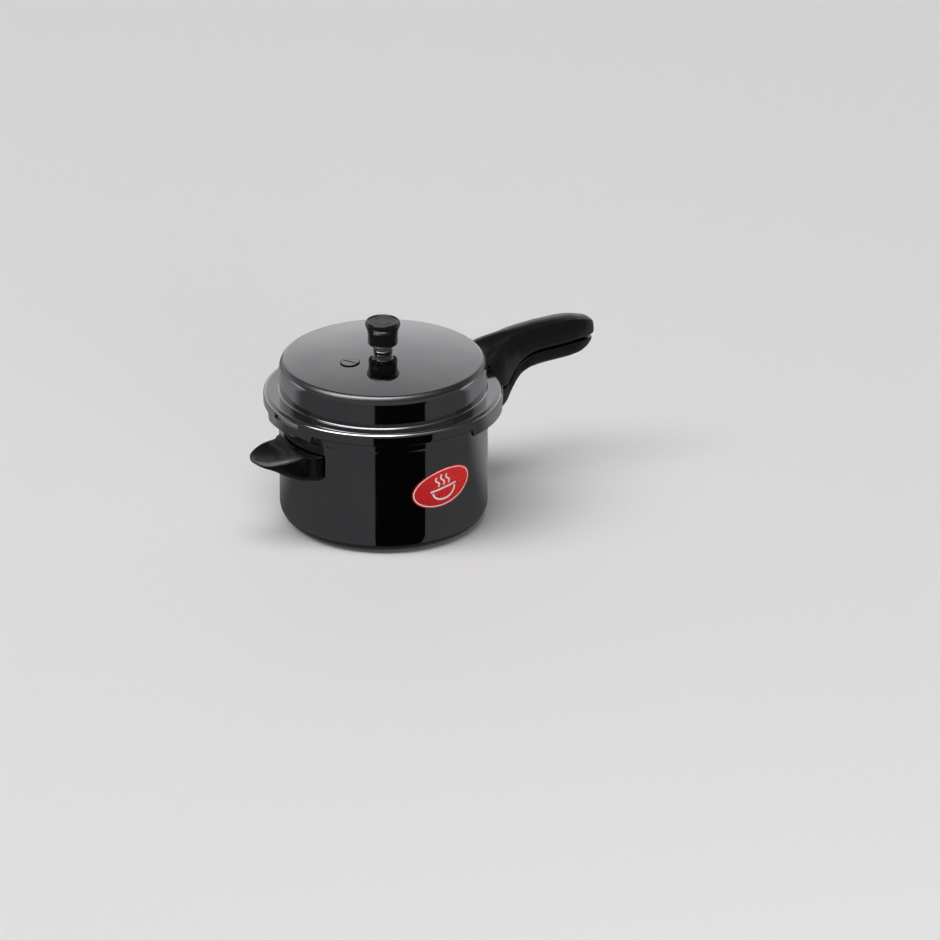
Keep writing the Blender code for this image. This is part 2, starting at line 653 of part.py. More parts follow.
def make_weight():
    """The regulator that rides on the vent pipe: chromed core, bakelite cap, needle and split clip."""
    z = LID_TOP_Z
    core = [(2.0, z + 21.4), (8.6, z + 21.4), (9.2, z + 20.8), (9.2, z + 6.2), (8.2, z + 5.7)]
    core += [(8.2, z + 4.9), (9.2, z + 4.4), (9.2, z + 2.4), (8.4, z + 0.8), (7.6, z + 0.8)]
    core += [(7.6, z + 3.6), (4.5, z + 3.6), (4.5, z + 6.6)]
    core += [(6.0, z + 6.6), (6.0, z + 8.6), (4.5, z + 8.6), (4.5, z + 17.0), (2.0, z + 17.4)]
    turned("weight_core", core, CHROME, closed=True)
    cap = [(0.0, z + 27.7), (12.3, z + 27.7), (12.9, z + 28.4), (14.1, z + 28.3), (15.1, z + 26.2)]
    cap += [(15.1, z + 24.2), (14.1, z + 22.0), (13.3, z + 19.6), (13.0, z + 15.0), (13.0, z + 10.4)]
    cap += [(12.2, z + 8.7), (9.5, z + 8.7), (9.5, z + 21.8), (0.0, z + 21.8)]
    turned("weight_cap", cap, BAKELITE, 28)
    needle = [(0.0, z + 21.2), (1.7, z + 21.2), (1.7, z + 17.2), (0.9, z + 15.2), (0.0, z + 14.2)]
    turned("weight_needle", needle, STEEL, 16)
    clip = rectangle(4.35, 5.6, z + 6.95, z + 8.25)
    sector("weight_clip", clip, 0.0, 310.0, STEEL, steps=24)


# ---------------------------------------------------------------- the whole cooker


def main():
    pot = make_pot()
    make_body_handle(pot)
    make_helper_handle(pot)
    make_label()
    make_gasket()
    lid = make_lid()
    make_vent()
    make_safety_valve(lid)
    make_lid_handle()
    make_weight()


main()
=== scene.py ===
"""Looks for the stovetop pressure cooker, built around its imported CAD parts.

Frame: metres, +Z up, origin on the pot's axis at its base, +X along the long handles.
"""

import json
import math

import bmesh
import bpy
from mathutils import Matrix, Vector


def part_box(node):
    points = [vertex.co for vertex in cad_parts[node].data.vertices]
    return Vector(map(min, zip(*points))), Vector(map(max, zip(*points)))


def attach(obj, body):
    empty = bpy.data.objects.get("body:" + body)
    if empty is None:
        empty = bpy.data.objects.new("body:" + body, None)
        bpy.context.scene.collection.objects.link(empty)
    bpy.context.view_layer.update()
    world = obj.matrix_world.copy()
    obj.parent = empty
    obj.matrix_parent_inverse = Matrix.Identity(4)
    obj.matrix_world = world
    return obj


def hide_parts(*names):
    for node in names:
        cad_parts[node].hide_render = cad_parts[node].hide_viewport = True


MM = 0.001
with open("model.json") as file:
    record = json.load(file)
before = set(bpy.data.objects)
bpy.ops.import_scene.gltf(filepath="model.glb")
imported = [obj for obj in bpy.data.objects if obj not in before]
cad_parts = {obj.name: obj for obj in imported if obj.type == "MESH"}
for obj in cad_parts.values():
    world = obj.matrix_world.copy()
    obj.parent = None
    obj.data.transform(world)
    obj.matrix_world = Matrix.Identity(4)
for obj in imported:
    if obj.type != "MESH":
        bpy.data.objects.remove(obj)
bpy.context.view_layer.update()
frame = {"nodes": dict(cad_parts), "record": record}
NODES = frame["nodes"]

# The main view.
CAMERA_AZIMUTH = -36.4  # 0 looks along +Y
CAMERA_ELEVATION = 24.1
CAMERA_DISTANCE = 5.4
CAMERA_LENS = 238.7
SENSOR_WIDTH = 36.0
AIM_RIGHT = 0.0746
AIM_UP = 0.0365

# Dimensions shared with the CAD, in millimetres and degrees.
POT_RADIUS = 90.0
NECK_RADIUS = 91.2
POT_WALL = 3.2
POT_FLOOR = 4.0
POT_CORNER = 15.0
NECK_STEP_Z = 96.0
RIM_Z = 107.0
RIM_THICKNESS = 2.6
RIM_RADIUS = 97.5
NOTCH_RADIUS = 92.7
LID_SHEET = 2.6
LID_DISC_RADIUS = 83.7
LID_DISC_Z = 146.0
LID_DOME = 5.6
LID_SHOULDER = 5.6
SHOULDER_DROP = 9.5
FLANGE_RADIUS = 103.0
SKIRT_LOW_Z = 101.2
SKIRT_HIGH_Z = 107.4
LUG_RADIUS = 93.5
LUG_TOP_Z = 103.7
DEEP_ANGLES = (60.0, 180.0, 300.0)
DEEP_SPAN = 35.4
LUG_ANGLES = (63.6, 183.6, 303.6)
LUG_SPAN = 24.0
LID_TURN = 31.5
NOTCH_SPAN = 28.0
LID_TOP_Z = LID_DISC_Z + LID_DOME
SKIRT_RADIUS = LID_DISC_RADIUS + LID_SHOULDER
VALVE_RADIUS = 36.0
VALVE_ANGLE = 183.0
SLOT_ANGLE = -72.4

# The lid's ledge and flange corner, drawn a little differently here than in the CAD.
LEDGE_Z = 118.0
LEDGE_FILLET = 1.2
FLANGE_CORNER = 4.2
FLANGE_DROP = 3.4

# Each handle screw: its place along X, and the height of the lowest face of its head.
BODY_SCREW = (103.0, 72.8)
HELPER_SCREW = (-102.0, 66.6)
LID_SCREW = (112.6, 98.4)
SCREW_HEAD = 2.6  # how tall the head is

# The release window, in the middle one of the lid's deeper stretches.
WINDOW_ANGLE = DEEP_ANGLES[1]
WINDOW_LOW, WINDOW_HIGH = 110.2, 114.6
WINDOW_SPAN = 20.0

# The label: its middle along the wall and up, its tilt, and its half length and half height.
LABEL_X, LABEL_Z, LABEL_TILT = -1.9, 57.4, 9.0
LABEL_HALF = (29.4, 17.2)

COLUMNS = 240  # facets round the large turned pieces
WELD = 0.00001  # vertices closer than this, in metres, become one


# ---------------------------------------------------------------- shader nodes


class NodeTree:
    """A node tree with short calls to add and join nodes."""

    def __init__(self, tree):
        self.tree = tree

    def add(self, kind, **settings):
        node = self.tree.nodes.new(kind)
        for key, value in settings.items():
            setattr(node, key, value)
        return node

    def join(self, source, target):
        self.tree.links.new(source, target)

    def math(self, operation, *values):
        """Each value is a number or another node's output."""
        node = self.add("ShaderNodeMath", operation=operation)
        for socket, value in zip(node.inputs, values):
            if isinstance(value, (int, float)):
                socket.default_value = value
            else:
                self.join(value, socket)
        return node.outputs[0]

    def split(self, vector):
        node = self.add("ShaderNodeSeparateXYZ")
        self.join(vector, node.inputs[0])
        return node.outputs

    def dot(self, vector, direction):
        node = self.add("ShaderNodeVectorMath", operation="DOT_PRODUCT")
        self.join(vector, node.inputs[0])
        node.inputs[1].default_value = direction
        return node.outputs["Value"]

    def remap(self, value, low, high, to_low, to_high, interpolation="LINEAR"):
        node = self.add("ShaderNodeMapRange", interpolation_type=interpolation)
        self.join(value, node.inputs["Value"])
        node.inputs["From Min"].default_value = low
        node.inputs["From Max"].default_value = high
        node.inputs["To Min"].default_value = to_low
        node.inputs["To Max"].default_value = to_high
        return node.outputs["Result"]

    def ramp(self, value, stops):
        """A colour ramp through (position, colour) stops."""
        node = self.add("ShaderNodeValToRGB")
        self.join(value, node.inputs["Fac"])
        elements = node.color_ramp.elements
        while len(elements) < len(stops):
            elements.new(0.5)
        for element, (position, colour) in zip(elements, stops):
            element.position = position
            element.color = (*colour, 1.0)
        return node.outputs["Color"]


# ---------------------------------------------------------------- camera, floor and light

LIGHT_TARGET = Vector((0.0, 0.0, 0.08))
STUDIO_SIZE = 40.0

# Painted reflection: behind the pot the mirrored hob glows this many times brighter, reached this far past
# the axis.
PAINTED_REFLECTION_GAIN = 3.6
PAINTED_REFLECTION_REACH = 0.12

# Painted reflection, the mirrored black stretch: the angles at which its sides start on the pot's wall, from
# the side that faces the camera, the radius they start at, and its length.
STRIP_SIDES = (-4.2, 23.9)
STRIP_START_RADIUS = 0.0915
STRIP_LENGTH = 3.0

# What the studio shows in each direction, from the horizon behind the object (0) over the top to the
# horizon behind the camera (180), in degrees: a bright back wall and a dark ceiling.
SKY = (
    (0.0, 1.0),
    (10.0, 0.78),
    (24.0, 0.52),
    (38.0, 0.3),
    (46.0, 0.08),
    (93.0, 0.06),
    (98.0, 0.10),
    (180.0, 0.10),
)

# The softbox in the ceiling: its first and last angle on the same scale, how high its edge stands, its
# brightness over the ceiling's, and how that fades from the far left (0) to the far right (1).
SOFTBOX_ANGLES = (92.0, 121.0)
SOFTBOX_EDGE = (0.55, 0.68)
SOFTBOX_GAIN = 50.0
SOFTBOX = ((0.02, 0.0), (0.1, 1.0), (0.54, 1.0), (0.66, 0.12), (0.8, 0.05), (0.9, 0.0))


def camera_axes():
    """The camera's right, its level direction, its line of sight and its up."""
    azimuth = math.radians(CAMERA_AZIMUTH)
    elevation = math.radians(CAMERA_ELEVATION)
    right = Vector((math.cos(azimuth), math.sin(azimuth), 0.0))
    level = Vector((-math.sin(azimuth), math.cos(azimuth), 0.0))
    forward = level * math.cos(elevation) - Vector((0, 0, math.sin(elevation)))
    return right, level, forward, right.cross(forward)


def make_camera():
    right, level, forward, up = camera_axes()
    data = bpy.data.cameras.new("camera")
    data.lens = CAMERA_LENS
    data.sensor_width = SENSOR_WIDTH
    data.clip_start = 0.1
    data.clip_end = 60.0
    camera = bpy.data.objects.new("camera", data)
    bpy.context.scene.collection.objects.link(camera)
    aim = right * AIM_RIGHT + up * AIM_UP
    camera.location = aim - forward * CAMERA_DISTANCE
    camera.rotation_mode = "QUATERNION"
    camera.rotation_quaternion = forward.to_track_quat("-Z", "Y")
    bpy.context.scene.camera = camera


def studio_point(right_m, toward_camera_m, up_m):
    """A point in the studio, stated along the camera's right, towards the camera, and up."""
    right, level = camera_axes()[:2]
    return right * right_m - level * toward_camera_m + Vector((0, 0, up_m))


def area_light(name, at, size, power):
    """A soft light aimed at the middle of the pot, which the metal doesn't mirror."""
    data = bpy.data.lights.new(name, "AREA")
    data.shape = "RECTANGLE"
    data.size, data.size_y = size
    data.energy = power
    light = bpy.data.objects.new(name, data)
    bpy.context.scene.collection.objects.link(light)
    light.location = at
    light.rotation_mode = "QUATERNION"
    light.rotation_quaternion = (LIGHT_TARGET - at).to_track_quat("-Z", "Y")
    light.visible_glossy = False


def flat_stage(name, shape, z, material):
    """A level piece of the studio, which is not part of the object."""
    obj = as_object(name, shape)
    obj.data.materials.append(material)
    obj.location.z = z
    return obj


def studio_square():
    shape = bmesh.new()
    bmesh.ops.create_grid(shape, x_segments=1, y_segments=1, size=STUDIO_SIZE / 2)
    return shape


def glow_material(name, colour):
    material = bpy.data.materials.new(name)
    material.use_nodes = True
    n = NodeTree(material.node_tree)
    n.tree.nodes.clear()
    emit = n.add("ShaderNodeEmission")
    emit.inputs["Color"].default_value = (*colour, 1.0)
    n.join(emit.outputs[0], n.add("ShaderNodeOutputMaterial").inputs[0])
    return material


def brighten_painted_reflection(material):
    """Paints a reflection: makes the mirrored hob lighter behind the pot, so that the wall brightens towards
    its two edges.
    """
    n = NodeTree(material.node_tree)
    behind = n.dot(n.add("ShaderNodeTexCoord").outputs["Object"], camera_axes()[1])
    glow = n.remap(behind, 0.0, PAINTED_REFLECTION_REACH, 1.0, PAINTED_REFLECTION_GAIN, "SMOOTHSTEP")
    n.join(glow, n.tree.nodes["Emission"].inputs["Strength"])


def only_in_reflections(obj):
    obj.visible_camera = False
    obj.visible_diffuse = False
    obj.visible_shadow = False
    obj.visible_transmission = False
    obj.visible_volume_scatter = False


def dark_strip():
    """A painted reflection, seen only in the metal: the black stretch that the front of the pot mirrors; its
    sides run to either side of the camera.
    """
    shape = bmesh.new()
    near, far = [], []
    for turn in STRIP_SIDES:
        normal = math.radians(CAMERA_AZIMUTH - 90.0 + turn)
        away = math.radians(CAMERA_AZIMUTH - 90.0 + 2 * turn)
        start = Vector((math.cos(normal), math.sin(normal), 0.0)) * STRIP_START_RADIUS
        near.append(start)
        far.append(start + Vector((math.cos(away), math.sin(away), 0.0)) * STRIP_LENGTH)
    shape.faces.new([shape.verts.new(at) for at in (near[0], near[1], far[1], far[0])])
    return shape


def make_world():
    world = bpy.data.worlds.new("studio")
    world.use_nodes = True
    bpy.context.scene.world = world
    n = NodeTree(world.node_tree)
    n.tree.nodes.clear()
    output = n.add("ShaderNodeOutputWorld")
    background = n.add("ShaderNodeBackground")
    direction = n.add("ShaderNodeTexCoord").outputs["Generated"]
    right, level = camera_axes()[:2]
    up = n.split(direction)[2]
    turn = n.math("ARCTAN2", n.math("MAXIMUM", up, 0.0), n.dot(direction, level))
    sky = [(angle / 180.0, (value, value, value * 1.01)) for angle, value in SKY]
    n.join(n.ramp(n.math("DIVIDE", turn, math.pi), sky), background.inputs["Color"])

    # The softbox, as a brighter stretch overhead that ends to the left and right.
    first, last = SOFTBOX_ANGLES
    after = n.math("GREATER_THAN", turn, math.radians(first))
    before = n.math("LESS_THAN", turn, math.radians(last))
    overhead = n.math("MULTIPLY", after, n.remap(up, *SOFTBOX_EDGE, 0.0, 1.0))
    sideways = n.math("MULTIPLY_ADD", n.dot(direction, right), 0.5, 0.5)
    across = n.ramp(sideways, [(position, (value, value, value)) for position, value in SOFTBOX])
    lit = n.math("MULTIPLY", n.math("MULTIPLY", overhead, before), across)
    n.join(n.math("MULTIPLY_ADD", lit, SOFTBOX_GAIN, 1.0), background.inputs["Strength"])
    n.join(background.outputs[0], output.inputs["Surface"])


def make_studio():
    floor_material = bpy.data.materials.new("floor_pale")
    floor_material.use_nodes = True
    shader = floor_material.node_tree.nodes["Principled BSDF"]
    shader.inputs["Base Color"].default_value = (0.78, 0.775, 0.77, 1.0)
    shader.inputs["Roughness"].default_value = 0.7
    floor = flat_stage("floor", studio_square(), 0.0, floor_material)
    floor.visible_glossy = False

    # Painted reflections, seen only in the polished metal in place of the pale floor: a glowing sheet
    # standing for a dark hob, with a black stretch in front.
    glow = glow_material("painted_reflection_hob", (0.08, 0.08, 0.083))
    brighten_painted_reflection(glow)
    only_in_reflections(flat_stage("painted_reflection_hob", studio_square(), -0.002, glow))
    black = glow_material("painted_reflection_black", (0.003, 0.003, 0.003))
    only_in_reflections(flat_stage("painted_reflection_strip", dark_strip(), -0.001, black))

    area_light("key", studio_point(-1.1, 0.5, 2.0), (1.4, 1.0), 5.0)
    area_light("fill", studio_point(0.9, 2.2, 0.5), (1.0, 1.0), 14.0)
    make_world()


# ---------------------------------------------------------------- materials


class Nodes(NodeTree):
    """A material's node tree, with its shader and its object's own coordinates."""

    def __init__(self, name):
        self.material = bpy.data.materials.new(name)
        self.material.use_nodes = True
        super().__init__(self.material.node_tree)
        self.shader = self.tree.nodes["Principled BSDF"]
        self.place = self.add("ShaderNodeTexCoord").outputs["Object"]

    def set(self, name, value):
        self.shader.inputs[name].default_value = value

    def feed(self, name, source):
        self.join(source, self.shader.inputs[name])

    def noise(self, scale, detail, roughness, place=None):
        node = self.add("ShaderNodeTexNoise")
        node.inputs["Scale"].default_value = scale
        node.inputs["Detail"].default_value = detail
        node.inputs["Roughness"].default_value = roughness
        self.join(place or self.place, node.inputs["Vector"])
        return node.outputs["Fac"]

    def mix_colour(self, factor, first, second):
        """Mixes two colours, each a tuple or another node's output."""
        node = self.add("ShaderNodeMix", data_type="RGBA")
        self.join(factor, node.inputs[0])
        for socket, value in ((node.inputs[6], first), (node.inputs[7], second)):
            if isinstance(value, tuple):
                socket.default_value = (*value, 1.0)
            else:
                self.join(value, socket)
        return node.outputs[2]

    def axis_distance(self):
        """Distance from Z, and height, both in metres."""
        x, y, z = self.split(self.place)
        squares = self.math("ADD", self.math("MULTIPLY", x, x), self.math("MULTIPLY", y, y))
        return self.math("SQRT", squares), z

    def ring_place(self):
        """Coordinates that are constant round the axis, for marks left by spinning and polishing."""
        radius, z = self.axis_distance()
        combine = self.add("ShaderNodeCombineXYZ")
        self.join(radius, combine.inputs[0])
        self.join(z, combine.inputs[1])
        return combine.outputs[0]

    def bump(self, *heights):
        """Stacks (height, strength, distance in metres) bumps and feeds the shader."""
        normal = None
        for height, strength, distance in heights:
            node = self.add("ShaderNodeBump")
            node.inputs["Strength"].default_value = strength
            node.inputs["Distance"].default_value = distance
            self.join(height, node.inputs["Height"])
            if normal is not None:
                self.join(normal, node.inputs["Normal"])
            normal = node.outputs["Normal"]
        self.feed("Normal", normal)


def anodised_material(name, satin_inside):
    """Black hard-anodised aluminium: polished outside, satin where satin_inside says so."""
    n = Nodes(name)
    n.set("Metallic", 1.0)
    rings = n.noise(900.0, 2.0, 0.6, place=n.ring_place())
    cloud = n.noise(28.0, 3.0, 0.55)
    speck = n.noise(1400.0, 2.0, 0.5)
    polish = n.remap(cloud, 0.3, 0.7, 0.045, 0.08)
    inside = satin_inside(n)
    rough = n.add("ShaderNodeMix", data_type="FLOAT")
    n.join(inside, rough.inputs[0])
    n.join(polish, rough.inputs[2])
    rough.inputs[3].default_value = 0.34
    n.feed("Roughness", rough.outputs[0])
    tone = n.mix_colour(n.remap(cloud, 0.35, 0.65, 0.0, 1.0), (0.40, 0.405, 0.415), (0.44, 0.44, 0.445))
    tone = n.mix_colour(inside, tone, (0.17, 0.172, 0.178))
    n.feed("Base Color", tone)
    n.bump((rings, 0.12, 0.00002), (speck, 0.05, 0.00002))
    return n.material


def pot_inside(n):
    radius, z = n.axis_distance()
    inner = n.math("LESS_THAN", radius, (NECK_RADIUS - POT_WALL + 0.6) * MM)
    above = n.math("GREATER_THAN", z, (POT_FLOOR - 1.0) * MM)
    return n.math("MULTIPLY", inner, above)


def lid_inside(n):
    """Faces of the lid that look down or inwards, told by the surface's own normal."""
    normal = n.add("ShaderNodeNewGeometry").outputs["True Normal"]
    down = n.math("LESS_THAN", n.split(normal)[2], -0.05)
    radius, z = n.axis_distance()
    under = n.math("LESS_THAN", z, (LID_DISC_Z - 0.5) * MM)
    inner = n.math("LESS_THAN", radius, (SKIRT_RADIUS - 1.0) * MM)
    return n.math("MAXIMUM", down, n.math("MULTIPLY", under, inner))


def bakelite_material(name):
    n = Nodes(name)
    n.set("IOR", 1.65)
    cloud = n.noise(35.0, 4.0, 0.6)
    grain = n.noise(900.0, 3.0, 0.55)
    ripple = n.noise(90.0, 2.0, 0.5)
    tone = n.mix_colour(cloud, (0.003, 0.003, 0.0032), (0.0058, 0.0057, 0.0055))
    n.feed("Base Color", tone)
    n.feed("Roughness", n.remap(n.noise(60.0, 5.0, 0.65), 0.3, 0.7, 0.15, 0.24))
    n.bump((ripple, 0.04, 0.0002), (grain, 0.06, 0.00002))
    return n.material


def metal_material(name, colour, rough_low, rough_high):
    n = Nodes(name)
    n.set("Metallic", 1.0)
    cloud = n.noise(120.0, 3.0, 0.6)
    marks = n.noise(1500.0, 3.0, 0.6)
    dark = tuple(c * 0.82 for c in colour)
    n.feed("Base Color", n.mix_colour(n.remap(cloud, 0.3, 0.7, 0.0, 1.0), dark, colour))
    n.feed("Roughness", n.remap(marks, 0.3, 0.7, rough_low, rough_high))
    n.bump((marks, 0.15, 0.00003))
    return n.material


def silicone_material():
    n = Nodes("silicone_pale")
    cloud = n.noise(60.0, 4.0, 0.6)
    n.feed("Base Color", n.mix_colour(cloud, (0.66, 0.655, 0.64), (0.80, 0.79, 0.77)))
    n.feed("Roughness", n.remap(cloud, 0.3, 0.7, 0.45, 0.6))
    n.bump((n.noise(800.0, 3.0, 0.6), 0.15, 0.00004))
    return n.material


def label_material():
    """Printed vinyl red, with painted shading: a little deeper towards the lower left, brighter towards the
    upper right.
    """
    n = Nodes("label_print")
    x, y, z = n.split(n.place)
    # Painted light: the red lightens with height and towards +X.
    along = n.math("ADD", n.math("MULTIPLY", x, 0.7), z)
    painted_light_fade = n.remap(along, 0.035, 0.085, 0.0, 1.0)
    red = n.mix_colour(painted_light_fade, (0.56, 0.008, 0.014), (0.86, 0.022, 0.018))
    screen = n.noise(2600.0, 1.0, 0.5)
    ink = n.mix_colour(n.remap(screen, 0.3, 0.7, 0.0, 0.12), red, (0.70, 0.04, 0.03))
    n.feed("Base Color", ink)
    n.feed("Roughness", n.remap(n.noise(200.0, 3.0, 0.5), 0.3, 0.7, 0.2, 0.32))
    n.bump((n.noise(160.0, 2.0, 0.5), 0.04, 0.0001))
    return n.material


def print_white_material():
    n = Nodes("label_white")
    cloud = n.noise(900.0, 2.0, 0.5)
    n.feed("Base Color", n.mix_colour(cloud, (0.72, 0.71, 0.70), (0.86, 0.85, 0.84)))
    n.feed("Roughness", n.remap(cloud, 0.3, 0.7, 0.25, 0.35))
    return n.material


# ---------------------------------------------------------------- shape helpers


def arc(centre_r, centre_z, radius, start, end, count, drop=None):
    """Profile points round a quarter or so of a circle, or of an ellipse drop tall."""
    tall = radius if drop is None else drop
    points = []
    for i in range(count + 1):
        angle = math.radians(start + (end - start) * i / count)
        points.append((centre_r + radius * math.cos(angle), centre_z + tall * math.sin(angle)))
    return points


def between(first, last, t):
    return (first[0] + (last[0] - first[0]) * t, first[1] + (last[1] - first[1]) * t)


def supported(profile, near=0.8, longest=12.0):
    """Adds points close to both ends of every long stretch, and along it, so normals stay true."""
    points = []
    for first, last in zip(profile, profile[1:]):
        points.append(first)
        length = math.dist(first, last)
        if length > 3 * near:
            low, high = between(first, last, near / length), between(last, first, near / length)
            count = max(1, math.ceil(length / longest))
            points.append(low)
            points += [between(low, high, i / count) for i in range(1, count)]
            points.append(high)
    points.append(profile[-1])
    return points


def as_object(name, shape):
    """Puts a bmesh into the scene with its normals turned outwards."""
    bmesh.ops.recalc_face_normals(shape, faces=shape.faces)
    mesh = bpy.data.meshes.new(name)
    shape.to_mesh(mesh)
    shape.free()
    obj = bpy.data.objects.new(name, mesh)
    bpy.context.scene.collection.objects.link(obj)
    return obj


def new_piece(name, shape, material, body, sharp=32.0):
    """Makes a piece from a bmesh, rides it on its body, and gives it its material and slot."""
    obj = as_object(name, shape)
    obj.data.shade_smooth()
    obj.data.set_sharp_from_angle(angle=math.radians(sharp))
    obj.data.materials.append(material)
    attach(obj, body)
    return obj


def even_angles(count, extra=()):
    angles = {round(360.0 * i / count, 4) for i in range(count)}
    return sorted(angles | {round(a % 360.0, 4) for a in extra})


def round_z(r, turn, z):
    """The point at radius r and height z, in millimetres, turned round Z by an angle in radians."""
    return (r * MM * math.cos(turn), r * MM * math.sin(turn), z * MM)


def lathe(profile, angles, closed=False, warp=None, skip=None, bridge=None):
    """Turns a profile (r, z in millimetres) round Z as a bmesh.

    warp(angle, j, r, z) moves a point, skip(angle, j) leaves out the face after point j, and
    bridge is a list of (j, k) rows joined to each other where skip left faces out.
    """
    shape = bmesh.new()
    poles = {}
    columns = []
    for angle in angles:
        column = []
        turn = math.radians(angle)
        for j, (r, z) in enumerate(profile):
            if warp:
                r, z = warp(angle, j, r, z)
            if r < 0.0001:
                if j not in poles:
                    poles[j] = shape.verts.new((0, 0, z * MM))
                column.append(poles[j])
            else:
                column.append(shape.verts.new(round_z(r, turn, z)))
        columns.append(column)
    rows = list(range(len(profile) - 1)) + ([len(profile) - 1] if closed else [])
    for i, angle in enumerate(angles):
        this, following = columns[i], columns[(i + 1) % len(angles)]
        middle = (angle + (angles[(i + 1) % len(angles)] - angle) % 360.0 / 2) % 360.0
        pairs = []
        for j in rows:
            if skip and skip(middle, j):
                continue
            pairs.append((j, (j + 1) % len(profile)))
        if bridge and skip(middle, bridge[0][0]):
            pairs += bridge
        for j, k in pairs:
            corners = []
            for vertex in (this[j], this[k], following[k], following[j]):
                if vertex not in corners:
                    corners.append(vertex)
            if len(corners) > 2:
                shape.faces.new(corners)
    return shape


def angle_from(middle, angle):
    """Signed difference of two angles in degrees, between -180 and 180."""
    return (angle - middle + 180.0) % 360.0 - 180.0


def joined(*shapes):
    """Several bmeshes as one."""
    whole = bmesh.new()
    for shape in shapes:
        scratch = bpy.data.meshes.new("scratch")
        shape.to_mesh(scratch)
        shape.free()
        whole.from_mesh(scratch)
        bpy.data.meshes.remove(scratch)
    return whole


def loft(rings, around=False):
    """A closed solid through rings of points, ended by faces or, if around, by joining last to first."""
    shape = bmesh.new()
    rings = [[shape.verts.new(at) for at in ring] for ring in rings]
    for first, second in zip(rings, rings[1:] + (rings[:1] if around else [])):
        for i in range(len(first)):
            j = (i + 1) % len(first)
            shape.faces.new((first[i], first[j], second[j], second[i]))
    if not around:
        shape.faces.new(rings[0])
        shape.faces.new(rings[-1])
    return shape


def sector(section, middle, span, count):
    """A section (r, z) swept round Z over span degrees."""
    rings = []
    for i in range(count + 1):
        turn = math.radians(middle - span / 2 + span * i / count)
        rings.append([round_z(r, turn, z) for r, z in section])
    return loft(rings)


def bar(length, width, height, turn, at):
    """A bar in millimetres as a cutter, turned round Z by an angle in degrees."""
    shape = bmesh.new()
    bmesh.ops.create_cube(shape, size=1.0)
    bmesh.ops.scale(shape, verts=shape.verts, vec=(length * MM, width * MM, height * MM))
    bmesh.ops.rotate(shape, verts=shape.verts, matrix=Matrix.Rotation(math.radians(turn), 3, "Z"))
    bmesh.ops.translate(shape, verts=shape.verts, vec=Vector(at) * MM)
    return shape


# ---------------------------------------------------------------- eased stretches round the axis


def smooth_step(t):
    t = min(1.0, max(0.0, t))
    return t * t * (3 - 2 * t)


def inside_any(angle, middles, span, ease):
    """1 inside the given stretches, 0 outside, easing over a few tenths of a degree at their ends."""
    best = 0.0
    for middle in middles:
        away = abs(angle_from(middle, angle)) - span / 2
        best = max(best, smooth_step(0.5 - away / ease))
    return best


def edge_angles(middles, span, ease):
    """Extra columns that carry the eased ends of each stretch."""
    extra = []
    for middle in middles:
        for side in (-1, 1):
            for t in (-0.5, -0.3, -0.1, 0.1, 0.3, 0.5):
                extra.append(middle + side * (span / 2 + t * ease))
    return extra


# ---------------------------------------------------------------- pot


def make_pot(material):
    inner = POT_RADIUS - POT_WALL
    neck_inner = NECK_RADIUS - POT_WALL
    inner_corner = POT_CORNER - POT_WALL
    rim_low = RIM_Z - RIM_THICKNESS
    fillet, edge = 1.4, 0.9
    profile = [(0.0, POT_FLOOR)]
    profile += arc(inner - inner_corner, POT_FLOOR + inner_corner, inner_corner, -90, 0, 12)
    profile += [(inner, NECK_STEP_Z - 0.9), (inner + 0.15, NECK_STEP_Z - 0.2)]
    profile += [(neck_inner - 0.15, NECK_STEP_Z + 0.9), (neck_inner, NECK_STEP_Z + 1.7)]
    profile += arc(neck_inner + edge, RIM_Z - edge, edge, 180, 90, 6)
    profile += arc(RIM_RADIUS - edge, RIM_Z - edge, edge, 90, 0, 6)
    profile += arc(RIM_RADIUS - 0.5, rim_low + 0.5, 0.5, 0, -90, 4)
    profile += arc(NECK_RADIUS + fillet, rim_low - fillet, fillet, 90, 180, 6)
    profile += arc(NECK_RADIUS - 1.3, NECK_STEP_Z + 1.2, 1.3, 0, -58, 5)
    profile += arc(POT_RADIUS + 0.9, NECK_STEP_Z - 1.2, 0.9, 122, 180, 4)
    profile += arc(POT_RADIUS - POT_CORNER, POT_CORNER, POT_CORNER, 0, -90, 16)
    profile += [(0.0, 0.0)]
    profile = supported(profile)
    middles = [angle - LID_TURN for angle in LUG_ANGLES]
    ease = 1.6

    def notch(angle, j, r, z):
        if r > NOTCH_RADIUS and z > rim_low - 1.0:
            depth = inside_any(angle, middles, NOTCH_SPAN, ease)
            r = r + (NOTCH_RADIUS + (r - NOTCH_RADIUS) * 0.12 - r) * depth
        return r, z

    angles = even_angles(COLUMNS, edge_angles(middles, NOTCH_SPAN, ease))
    shape = lathe(profile, angles, warp=notch)
    pot = new_piece("pot_shell", shape, material, "pot")
    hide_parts("pot_body")


# ---------------------------------------------------------------- lid


def dome_z(r):
    """Height of the lid's top at radius r."""
    return LID_DISC_Z + LID_DOME * (1 - (r / LID_DISC_RADIUS) ** 2)


